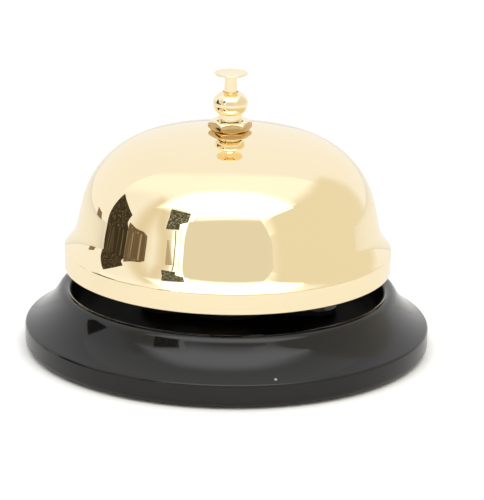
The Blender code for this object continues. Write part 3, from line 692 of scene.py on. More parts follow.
BLACK_GLOSS = Finish(
    "black_gloss", (0.0035, 0.0033, 0.0035), (0.006, 0.0055, 0.006),
    metallic=0.0, roughness=0.05, uneven=0.12, relief=0.003 * MM, scale=120.0, dust=0.012,
    extra=(("IOR", 1.46),), well=True,
)
RUBBER = Finish(
    "rubber", (0.012, 0.012, 0.013), (0.02, 0.02, 0.021),
    metallic=0.0, roughness=0.6, uneven=0.3, relief=0.06 * MM, scale=900.0, dust=0.03,
)
NYLON = Finish(
    "nylon", (0.78, 0.75, 0.67), (0.7, 0.67, 0.58),
    metallic=0.0, roughness=0.36, uneven=0.2, relief=0.01 * MM, scale=500.0,
)


def fit(piece: bpy.types.Object, finish: Finish, body: Body, *nodes: str) -> bpy.types.Object:
    """Dresses a finished piece and hangs it on its body in place of its CAD nodes.

    Args:
        piece: The finished piece.
        finish: What it is made of.
        body: The body that it moves with.
        nodes: The CAD nodes that it stands for.

    Returns:
        The piece.
    """
    piece.data.materials.clear()
    piece.data.materials.append(finish.material())
    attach(piece, body.value)
    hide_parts(*nodes)
    LOG.info("%s: %d faces, %s", piece.name, len(piece.data.polygons), finish.slot)
    return piece


@dataclass
class Gong:
    """The drawn dome, from its hole on the crown down to the plain band at its rim."""

    wall: float = 0.9 * MM
    crown_round: float = 66.1 * MM
    crown_join: float = 15.79
    shoulder_round: float = 18.05 * MM
    wall_lean: float = 12.5
    cove_round: float = 9.108 * MM
    cove_above_rim: float = 8.939 * MM
    cove_end: float = 44.3
    band_height: float = 4.2 * MM
    band_round: float = 0.5 * MM
    edge_round: float = 0.28 * MM
    seat_flat: float = 0.25 * MM

    def side(self, depth: float) -> list[Flat]:
        """The outline from crown to band, at a depth below the outer surface."""
        rim, bottom, seat = node_size("gong")
        lean = math.radians(self.wall_lean)
        join = math.radians(self.crown_join)
        crown = (0.0, seat + self.seat_flat - self.crown_round)
        gap = self.crown_round - self.shoulder_round
        shoulder = (gap * math.sin(join), crown[1] + gap * math.cos(join))
        wall_top = arc(shoulder, self.shoulder_round, self.wall_lean, self.wall_lean, 1)[0]
        cove_top = bottom + self.cove_above_rim
        cove_radius = wall_top[0] + (wall_top[1] - cove_top) * math.tan(lean)
        cove = (cove_radius + self.cove_round * math.cos(lean), cove_top + self.cove_round * math.sin(lean))
        flat = seat - depth
        crown_radius = self.crown_round - depth
        flat_angle = math.degrees(math.asin((flat - crown[1]) / crown_radius))
        points = [(GONG_HOLE, flat)]
        points += arc(crown, crown_radius, flat_angle, 90 - self.crown_join, 22)
        points += arc(shoulder, self.shoulder_round - depth, 90 - self.crown_join, self.wall_lean, 40)[1:]
        if depth:
            last = math.degrees(math.acos((cove[0] - rim + depth) / (self.cove_round + depth)))
            return points + arc(cove, self.cove_round + depth, 180 + self.wall_lean, 180 + last, 8)
        points += arc(cove, self.cove_round, 180 + self.wall_lean, 180 + self.cove_end, 14)
        band = (rim - self.band_round, bottom + self.band_height)
        return points + arc(band, self.band_round, self.cove_end, 0, 6)

    def build(self) -> None:
        """Turns the dome and plates it."""
        rim, bottom, _ = node_size("gong")
        edge = self.edge_round
        outline = self.side(0.0)
        outline += arc((rim - edge, bottom + edge), edge, 0, -90, 5)
        outline += arc((rim - self.wall + edge, bottom + edge), edge, -90, -180, 5)
        outline += self.side(self.wall)[::-1]
        piece = Bench.turn("gong_dome", outline, 256)
        fit(piece, GOLD_PLATE, Body.ROOT, "gong")


@dataclass
class Screw:
    """A pan-head self-tapping screw with a cross recess and a cut thread."""

    head_radius: float = 2.3 * MM
    shank_radius: float = 1.0 * MM
    thread_depth: float = 0.16 * MM
    pitch: float = 0.55 * MM
    recess_length: float = 2.7 * MM
    recess_width: float = 0.55 * MM
    point_share: float = 0.25
    tip_share: float = 0.8
    head_edge: float = 0.1 * MM
    crown_share: float = 0.6
    plate_grip: float = 5.2 * MM
    strap_grip: float = 5.5 * MM

    def outline(self, head: float, length: float) -> list[Flat]:
        """The screw's outline, from its point down to its head, which lies below zero."""
        points = [(0.0, length), (self.shank_radius * self.point_share, length)]
        height = length - self.pitch
        points.append((self.shank_radius * self.tip_share, height))
        while height > 1.2 * self.pitch:
            points.append((self.shank_radius, height - self.pitch * 0.2))
            points.append((self.shank_radius - self.thread_depth, height - self.pitch * 0.55))
            height -= self.pitch
        points.append((self.shank_radius, 0.05 * MM))
        points += [(self.head_radius - self.head_edge, 0.0), (self.head_radius, -self.head_edge)]
        crown = self.crown_share * head
        points += arc((self.head_radius - crown, crown - head), crown, 0, -80, 8)
        points.append((0.0, -head))
        return points

    def build(self, name: str, node: str, point_up: bool) -> None:
        """Makes the screw that stands for one CAD node.

        Args:
            name: The piece's name.
            node: The CAD node.
            point_up: Whether it goes in from below.
        """
        low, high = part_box(node)
        middle = (low + high) / 2
        grip = self.plate_grip if point_up else self.strap_grip
        head = (high.z - low.z) - grip
        seat = low.z + head if point_up else high.z - head
        place = (middle.x, middle.y, seat)
        piece = Bench.turn(name, self.outline(head, grip), 48)
        for size in (
            (self.recess_length, self.recess_width, head),
            (self.recess_width, self.recess_length, head),
        ):
            Bench.mill(piece, (0.0, 0.0, -head * 1.05), size)
        Bench.smooth(piece)
        Bench.put(piece, Axis.UP if point_up else Axis.DOWN, place)
        fit(piece, ZINC_STEEL, Body.ROOT, node)


@dataclass
class Base:
    """The gloss dish, with its lip, flare, skirt and bosses, and what closes it underneath."""

    wall: float = 1.6 * MM
    lip_radius: float = 34.1 * MM
    lip_height: float = 11.65 * MM
    lip_round: float = 1.4 * MM
    shoulder_round: float = 3.5 * MM
    shoulder_start: float = 45.0
    flare_round: float = 15.374 * MM
    flare_start: float = 28.0
    flare_end: float = 61.85
    skirt_foot_round: float = 1.5 * MM
    skirt_top_round: float = 0.8 * MM
    deck_top: float = 7.6 * MM
    deck_edge: float = 29.6 * MM
    deck_fillet: float = 2.2 * MM
    well_angle: float = -10.0
    boss_radius: float = 3.0 * MM
    boss_bottom: float = 2.45 * MM
    pilot_radius: float = 1.15 * MM
    screw_circle: float = 24.0 * MM
    screw_angles: tuple[float, ...] = (90.0, 210.0, 330.0)
    boss_edge: float = 0.2 * MM
    boss_sunk: float = 0.4 * MM
    pilot_offset: float = 0.8 * MM
    plate_edge: float = 0.15 * MM
    bead_radius: float = 26.5 * MM
    bead_round: float = 0.35 * MM
    bead_lead: float = 0.8 * MM
    ring_inner: float = 30.0 * MM
    ring_edge: float = 0.2 * MM
    groove_first: float = 1.4 * MM
    groove_last: float = 1.2 * MM
    groove_pitch: float = 1.6 * MM

    def outline(self) -> list[Flat]:
        """Over the deck, up the well, round the lip, down the flare and back underneath."""
        skirt, bottom, _ = node_size("base_shell")
        fillet = (self.deck_edge, self.deck_top + self.deck_fillet)
        lip = (self.lip_radius, self.lip_height)
        turn = self.shoulder_start
        shoulder = arc(lip, self.lip_round - self.shoulder_round, turn, turn, 1)[0]
        reach = self.shoulder_round + self.flare_round
        flare = arc(shoulder, reach, self.flare_start, self.flare_start, 1)[0]
        corner = arc(flare, self.flare_round, 180 + self.flare_end, 180 + self.flare_end, 1)[0]
        edge = arc(corner, -self.skirt_top_round, self.flare_end, self.flare_end, 1)[0]
        foot = (skirt - self.skirt_foot_round, bottom + self.skirt_foot_round)
        under = self.flare_round + self.wall
        inside = skirt - self.wall
        low = 180 + math.degrees(math.acos((flare[0] - inside) / under))
        points = [(POST_CLEARANCE, self.deck_top)]
        points += arc(fillet, self.deck_fillet, -90, self.well_angle, 12)
        points += arc(lip, self.lip_round, 180, turn, 20)
        points += arc(shoulder, self.shoulder_round, turn, self.flare_start, 10)[1:]
        points += arc(flare, self.flare_round, 180 + self.flare_start, 180 + self.flare_end, 32)[1:]
        points += arc(edge, self.skirt_top_round, self.flare_end, 0, 8)[1:]
        points += arc(foot, self.skirt_foot_round, 0, -90, 12)
        points += [(inside, bottom)]
        points += arc(flare, under, low, 180 + self.flare_start + 8, 16)
        points += arc(fillet, self.deck_fillet + self.wall, self.well_angle, -90, 10)
        return points + [(POST_CLEARANCE, self.deck_top - self.wall)]

    def screw_places(self) -> list[Flat]:
        """Where the plate's screws stand."""
        return [arc((0.0, 0.0), self.screw_circle, angle, angle, 1)[0] for angle in self.screw_angles]

    def build_dish(self) -> None:
        """Turns the dish, joins its bosses and drills them."""
        dish = Bench.turn("base_dish", self.outline(), 256)
        ceiling = self.deck_top - self.wall
        height = ceiling - self.boss_bottom + self.boss_sunk
        places = self.screw_places() + [(x, 0.0) for x in FRAME_SCREWS]
        boss = [
            (0.0, 0.0), (self.boss_radius - self.boss_edge, 0.0), (self.boss_radius, self.boss_edge),
            (self.boss_radius, height), (0.0, height),
        ]
        for index, (x, y) in enumerate(places):
            solid = Bench.turn(f"boss_{index}", boss, 40, place=(x, y, self.boss_bottom))
            Bench.combine(dish, solid, "UNION")
            upward = index < len(self.screw_angles)
            offset = -self.pilot_offset if upward else self.pilot_offset
            middle = (self.boss_bottom + self.deck_top) / 2 + offset
            depth = self.deck_top - self.boss_bottom
            Bench.drill(dish, (x, y, middle), self.pilot_radius, depth)
        Bench.smooth(dish)
        fit(dish, BLACK_GLOSS, Body.ROOT, "base_shell")

    def build_underside(self) -> None:
        """Makes the closing plate, the ring it stands on and the three screws."""
        radius, low, high = node_size("bottom_plate")
        edge = self.plate_edge
        outline = [(0.0, low), (self.bead_radius - self.bead_lead, low)]
        outline += arc((self.bead_radius, low), self.bead_round, 180, 0, 8)
        outline += [(radius - edge, low), (radius, low + edge)]
        outline += [(radius, high - edge), (radius - edge, high), (0.0, high)]
        plate = Bench.turn("closing_plate", outline, 160)
        for x, y in self.screw_places():
            Bench.drill(plate, (x, y, (low + high) / 2), SCREW_CLEARANCE, PLATE_DRILL)
        Bench.smooth(plate)
        fit(plate, BLACK_STEEL, Body.ROOT, "bottom_plate")
        self.build_ring()
        for index in range(len(self.screw_angles)):
            Screw().build(f"plate_screw_{index + 1}", f"base_screw_{index + 1}", point_up=True)

    def build_ring(self) -> None:
        """Makes the rubber ring, with the fine grooves that grip the counter."""
        outer, low, high = node_size("non_slip_ring")
        inner = self.ring_inner
        edge = self.ring_edge
        outline = [(inner, low + edge), (inner + edge, low)]
        groove = inner + self.groove_first
        while groove < outer - self.groove_last:
            outline += [(groove - edge, low), (groove, low + edge), (groove + edge, low)]
            groove += self.groove_pitch
        outline += [(outer - edge, low), (outer, low + edge)]
        outline += [(outer, high - edge), (outer - edge, high), (inner, high)]
        fit(Bench.turn("standing_ring", outline, 160), RUBBER, Body.ROOT, "non_slip_ring")

    def build(self) -> None:
        """Builds the whole base."""
        self.build_dish()
        self.build_underside()


@dataclass
class HexNut:
    """A hexagon nut whose faces are chamfered to a circle."""

    flats: float
    hole: float
    turn: float = 0.0
    chamfer: float = 42.0
    face_share: float = 0.965
    barrel_share: float = 1.03
    drop_share: float = 1.1
    lead: float = 0.3 * MM
    edge: float = 0.06 * MM

    def make(self, name: str, low: float, high: float) -> bpy.types.Object:
        """Turns the chamfered barrel and trims it to a hexagon.

        Args:
            name: The piece's name.
            low: Height of its underside.
            high: Height of its top.

        Returns:
            The nut.
        """
        corner = self.flats / math.sqrt(3)
        face = self.flats / 2 * self.face_share
        drop = (corner - face) * math.tan(math.radians(self.chamfer)) * self.drop_share
        barrel = corner * self.barrel_share
        outline = [
            (self.hole + self.lead, low), (face, low), (barrel, low + drop),
            (barrel, high - drop), (face, high), (self.hole + self.lead, high),
            (self.hole, high - self.lead), (self.hole, low + self.lead),
        ]
        nut = Bench.turn(name, outline, 144)
        sides = arc((0.0, 0.0), corner, self.turn, self.turn + 300, 5)
        Bench.combine(nut, Bench.plate("hexagon", sides, low - MM, high + MM), "INTERSECT")
        Bench.break_edges(nut, self.edge, 2, 25.0)
        return nut


@dataclass
class CrownStack:
    """What shows above the gong: the post's end, the hexagon nut and the ball, and the washer below."""

    nut_flats: float = 8.0 * MM
    nut_turn: float = 6.0
    nut_hole: float = 2.65 * MM
    seat_gap: float = 0.02 * MM
    nut_lowered: float = 0.15 * MM
    painted_light_slope: float = 0.3
    ball_radius: float = 3.65 * MM
    ball_upper_height: float = 2.75 * MM
    ball_lower_height: float = 3.3 * MM
    ball_centre: float = 52.6 * MM
    socket_radius: float = 2.65 * MM
    socket_top: float = 52.5 * MM
    bore: float = 1.6 * MM
    bore_lead: float = 0.12 * MM
    washer_edge: float = 0.1 * MM

    def build_ball(self) -> None:
        """Turns the ball with its socket and bore."""
        _, low, _ = node_size("ball_finial")
        start = -math.degrees(math.asin((self.ball_centre - low) / self.ball_lower_height))
        end = math.degrees(math.acos((self.bore + self.bore_lead) / self.ball_radius))
        surface = arc((0.0, 0.0), self.ball_radius, start, end, 48)
        outline = [(self.socket_radius, low)]
        for radius, height in surface:
            half_height = self.ball_upper_height if height > 0.0 else self.ball_lower_height
            outline.append((radius, self.ball_centre + height * half_height / self.ball_radius))
        top = outline[-1][1]
        outline += [(self.bore + self.bore_lead / 4, top - self.bore_lead / 6)]
        outline += [(self.bore, top - self.bore_lead)]
        outline += [(self.bore, self.socket_top), (self.socket_radius, self.socket_top)]
        fit(Bench.turn("ball", outline, 128), GOLD_PLATE, Body.ROOT, "ball_finial")

    def build_washer(self) -> None:
        """Turns the nylon washer that the gong sits on."""
        outline = washer(GONG_HOLE, *node_size("gong_seat_washer"), self.washer_edge)
        fit(Bench.turn("seat_washer", outline, 96), NYLON, Body.ROOT, "gong_seat_washer")

    def build(self) -> None:
        """Builds the nut, the ball and the washer."""
        seat = node_size("gong")[2] + self.seat_gap
        top = node_size("gong_nut")[2] - self.nut_lowered
        nut = HexNut(self.nut_flats, self.nut_hole, self.nut_turn).make("crown_nut", seat, top)
        fit(nut, BRASS_NUT, Body.ROOT, "gong_nut")
        # Faces that point up take the paler gold plate and the rest keep the darker brass: painted light,
        # the nut's top drawn lighter than its sides.
        nut.data.materials.append(GOLD_PLATE.material())
        for face in nut.data.polygons:
            face.material_index = 1 if face.normal.z > self.painted_light_slope else 0
        self.build_ball()
        self.build_washer()


@dataclass
class Post:
    """The hollow post with its flange and slot, and the washer and nut that clamp it."""

    radius: float = 4.5 * MM
    bore: float = 3.2 * MM
    shoulder: float = 45.0 * MM
    bore_top: float = 43.7 * MM
    neck: float = 2.45 * MM
    neck_bore: float = 1.7 * MM
    flange: float = 6.5 * MM
    flange_low: float = 9.15 * MM
    flange_high: float = 10.35 * MM
    slot: tuple[float, float, float] = (2.6 * MM, 22.0 * MM, 29.5 * MM)
    edge: float = 0.15 * MM
    nut_flats: float = 13.0 * MM
    thread_top: float = 7.0 * MM
    thread_pitch: float = 0.7 * MM
    thread_depth: float = 0.22 * MM

    def outline(self) -> list[Flat]:
        """The post's outline, with the thread on its lower end."""
        _, low, high = node_size("centre_post")
        edge = self.edge
        points = [(self.bore, low), (self.radius - self.thread_depth, low)]
        height = low + self.thread_pitch
        while height < self.thread_top:
            points.append((self.radius, height - self.thread_pitch / 2))
            points.append((self.radius - self.thread_depth, height))
            height += self.thread_pitch
        points += [(self.radius, self.flange_low), (self.flange - edge, self.flange_low)]
        points += [(self.flange, self.flange_low + edge), (self.flange, self.flange_high - edge)]
        points += [(self.flange - edge, self.flange_high), (self.radius, self.flange_high)]
        points += [(self.radius, self.shoulder - edge), (self.radius - edge, self.shoulder)]
        points += [(self.neck, self.shoulder), (self.neck, high - edge), (self.neck - edge, high)]
        points += [(self.neck_bore, high), (self.neck_bore, self.bore_top), (self.bore, self.bore_top)]
        return points

    def build(self) -> None:
        """Turns the post, mills its slot and makes the clamping washer and nut."""
        post = Bench.turn("hollow_post", self.outline(), 96)
        width, low, high = self.slot
        depth = self.radius * 1.5
        Bench.mill(post, (self.radius, 0.0, (low + high) / 2), (depth, width, high - low - width))
        for end in (low + width / 2, high - width / 2):
            Bench.drill(post, (self.radius, 0.0, end), width / 2, depth, Axis.SIDE, 40)
        Bench.smooth(post)
        fit(post, GOLD_PLATE, Body.ROOT, "centre_post")
        outline = washer(POST_CLEARANCE, *node_size("post_washer"), self.edge)
        fit(Bench.turn("clamp_washer", outline, 96), ZINC_STEEL, Body.ROOT, "post_washer")
        _, low, high = node_size("post_nut")
        nut = HexNut(self.nut_flats, POST_CLEARANCE).make("clamp_nut", low, high)
        fit(nut, ZINC_STEEL, Body.ROOT, "post_nut")


@dataclass
class Plunger:
    """The button, its rod and clip, and the bush and spring inside the post."""

    button_edge: float = 0.12 * MM
    button_foot: float = 0.34 * MM
    button_lowered: float = 0.22 * MM
    neck: float = 1.375 * MM
    neck_waist: float = 1.3 * MM
    button_thickness: float = 0.5 * MM
    neck_flare: float = 0.5 * MM
    waist_depth: float = 1.6 * MM
    waist_end: float = 2.6 * MM
    fine_edge: float = 0.1 * MM
    foot_round: float = 0.6 * MM
    ring_play: float = 0.2 * MM
    dish_depth: float = 0.1 * MM
    socket: float = 0.9 * MM
    socket_top: float = 57.9 * MM
    rod: float = 1.3 * MM
    rod_shoulder: float = 54.1 * MM
    spigot: float = 0.7 * MM
    spring_radius: float = 2.2 * MM
    wire: float = 0.25 * MM
    turns: int = 6
    travel: float = 3.2 * MM

    def build_button(self) -> None:
        """Turns the button: a thin disc, slightly dished, on a neck that flares into it."""
        radius, low, high = node_size("push_button")
        top = high - self.button_lowered
        under = top - self.button_thickness
        edge = self.button_edge
        foot = self.button_foot
        flare = self.neck_flare
        fine = self.fine_edge
        outline = [(0.0, top - self.dish_depth), (radius * 0.45, top - self.dish_depth * 0.8)]
        outline += [(radius * 0.75, top - self.dish_depth * 0.25), (radius - 1.4 * edge, top)]
        outline += arc((radius - edge, top - edge), edge, 90, 0, 8)
        outline += arc((radius - foot, under + foot), foot, 0, -90, 5)
        outline += arc((self.neck_waist + flare, under - flare), flare, 90, 180, 14)
        outline += [(self.neck_waist, under - self.waist_depth), (self.neck, under - self.waist_end)]
        outline += [(self.neck, low + fine), (self.neck - fine, low), (self.socket, low)]
        outline += [(self.socket, self.socket_top), (0.0, self.socket_top)]
        fit(Bench.turn("button", outline, 128), GOLD_PLATE, Body.PLUNGER, "push_button")

    def build_rod(self) -> None:
        """Turns the rod, with a rounded foot and the spigot that the button is pressed on."""
        _, low, high = node_size("plunger_rod")
        fine = self.fine_edge
        foot = self.foot_round
        outline = [(0.0, low)] + arc((self.rod - foot, low + foot), foot, -90, 0, 8)
        outline += [(self.rod, self.rod_shoulder - fine), (self.rod - fine, self.rod_shoulder)]
        outline += [(self.spigot, self.rod_shoulder), (self.spigot, high - fine)]
        outline += [(self.spigot - fine, high), (0.0, high)]
        fit(Bench.turn("rod", outline, 64), ZINC_STEEL, Body.PLUNGER, "plunger_rod")
        hole = self.rod + self.ring_play
        self.build_ring("rod_collar", "rod_clip", hole, SPRING_STEEL, Body.PLUNGER)
        self.build_ring("rod_bush", "guide_bush", hole, TURNED_BRASS, Body.ROOT)

    @staticmethod
    def build_ring(name: str, node: str, hole: float, finish: Finish, body: Body) -> None:
        """Turns a plain ring with broken edges in place of a CAD ring.

        Args:
            name: The piece's name.
            node: The CAD ring.
            hole: Radius of its hole.
            finish: What it is made of.
            body: The body that it moves with.
        """
        radius, low, high = node_size(node)
        edge = 0.15 * MM
        outline = [(hole, low + edge), (hole + edge, low), (radius - edge, low), (radius, low + edge)]
        outline += [(radius, high - edge), (radius - edge, high), (hole + edge, high), (hole, high - edge)]
        fit(Bench.turn(name, outline, 64), finish, body, node)

    def build_spring(self) -> None:
        """Winds the return spring with close ends."""
        _, low, high = node_size("return_spring")
        steps = self.turns * 24
        path = []
        for step in range(steps + 1):
            share = step / steps
            eased = share - math.sin(math.tau * share) / (math.tau * 1.35)
            angle = math.tau * self.turns * share
            height = low + self.wire + (high - low - 2 * self.wire) * eased
            x = self.spring_radius * math.cos(angle)
            path.append((x, self.spring_radius * math.sin(angle), height))
        spring = Bench.bend_wire("lift_spring", path, self.wire)
        fit(spring, SPRING_STEEL, Body.ROOT, "return_spring")
        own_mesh(spring)

    def build(self) -> None:
        """Builds the plunger and what guides and lifts it."""
        self.build_button()
        self.build_rod()
        self.build_spring()


@dataclass
class StrikerFrame:
    """The strap and its two ears, the hammer's pin, and what keeps the pin in place."""

    thickness: float = 1.0 * MM
    half_width: float = 4.6 * MM
    hub: float = 8.5 * MM
    pin: float = 1.2 * MM
    pin_play: float = 0.1 * MM
    pin_edge: float = 0.2 * MM
    pin_head: float = 2.1 * MM
    pin_head_height: float = 0.8 * MM
    pin_head_round: float = 0.5 * MM
    ring_hole: float = 1.4 * MM
    clip_radius: float = 2.6 * MM
    clip_gap: float = 1.6 * MM
    clip_edge: float = 0.08 * MM
    spacer_radius: float = 2.1 * MM
    strap_edge: float = 0.12 * MM
    ear_outside: float = 4.5 * MM
    ear_radius: float = 3.2 * MM
    ear_foot: float = 5.2 * MM
    anchor_hole: float = 0.6 * MM

    def ear(self, drop: float) -> list[Flat]:
        """Outline of one ear about its pivot: a round eye on a foot that widens."""
        slant = math.degrees(math.atan2(-drop, self.ear_foot))
        touch = slant + math.degrees(math.acos(self.ear_radius / math.hypot(self.ear_foot, drop)))
        foot = [(-self.ear_foot, -drop), (self.ear_foot, -drop)]
        return foot + arc((0.0, 0.0), self.ear_radius, touch, 180 - touch, 28)

    def build_strap(self) -> None:
        """Cuts the strap, joins the folded ears, drills the holes and breaks the edges."""
        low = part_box("striker_frame")[0].z
        high = low + self.thickness
        left, right = FRAME_SCREWS
        outline = link((left, 0.0), self.half_width, (right, 0.0), self.half_width)
        strap = Bench.plate("frame_strap", outline, low, high)
        drop = PIVOT[1] - low - self.thickness / 2
        place = (PIVOT[0], 0.0, PIVOT[1])
        for inner in (self.ear_outside - self.thickness, -self.ear_outside):
            ear = Bench.plate("ear", self.ear(drop), inner, inner + self.thickness, Axis.FRONT, place)
            Bench.combine(strap, ear, "UNION")
        hub = [(0.0, low), (self.hub, low), (self.hub, high), (0.0, high)]
        Bench.combine(strap, Bench.turn("hub", hub, 92), "UNION")
        Bench.drill(strap, (0.0, 0.0, low), POST_CLEARANCE, PLATE_DRILL)
        for x in FRAME_SCREWS:
            Bench.drill(strap, (x, 0.0, low), SCREW_CLEARANCE, PLATE_DRILL)
        Bench.drill(strap, place, self.pin + self.pin_play, CROSS_DRILL, Axis.FRONT)
        x, z = SPRING_ANCHOR
        Bench.drill(strap, (x, self.ear_outside, z), self.anchor_hole, PLATE_DRILL, Axis.FRONT)
        Bench.break_edges(strap, self.strap_edge, 2, BEVEL_ANGLE)
        fit(strap, BLACK_STEEL, Body.ROOT, "striker_frame")

    def build_pin(self) -> None:
        """Turns the pin, its clip and the spacer beside the arm."""
        low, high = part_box("pivot_pin")
        place = (PIVOT[0], 0.0, PIVOT[1])
        head = -low.y
        end = -high.y
        edge = self.pin_edge
        seat = head - self.pin_head_height
        outline = [(0.0, end), (self.pin - edge, end), (self.pin, end + edge), (self.pin, seat)]
        outline += [(self.pin_head - edge / 2, seat), (self.pin_head, seat + edge / 2)]
        bend = self.pin_head_round
        outline += arc((self.pin_head - bend, head - bend), bend, 0, 90, 8)
        outline += [(0.0, head)]
        fit(Bench.turn("pin", outline, 64, Axis.FRONT, place), ZINC_STEEL, Body.ROOT, "pivot_pin")

        near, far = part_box("pin_clip")
        hole = self.ring_hole
        rim = self.clip_radius
        ring = [(hole, -far.y), (rim, -far.y), (rim, -near.y), (hole, -near.y)]
        clip = Bench.turn("pin_circlip", ring, 64, Axis.FRONT, place)
        middle = (place[0], (near.y + far.y) / 2, place[2] - 3 * MM)
        Bench.mill(clip, middle, (self.clip_gap, 2 * MM, 6 * MM))
        Bench.break_edges(clip, self.clip_edge, 2)
        fit(clip, SPRING_STEEL, Body.ROOT, "pin_clip")

        near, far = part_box("arm_spacer")
        tube = washer(hole, self.spacer_radius, -far.y, -near.y, self.strap_edge)
        fit(Bench.turn("spacer", tube, 64, Axis.FRONT, place), TURNED_BRASS, Body.ROOT, "arm_spacer")

    def build(self) -> None:
        """Builds the frame, its screws and the pivot."""
        self.build_strap()
        for index in range(len(FRAME_SCREWS)):
            Screw().build(f"strap_screw_{index + 1}", f"frame_screw_{index + 1}", point_up=False)
        self.build_pin()


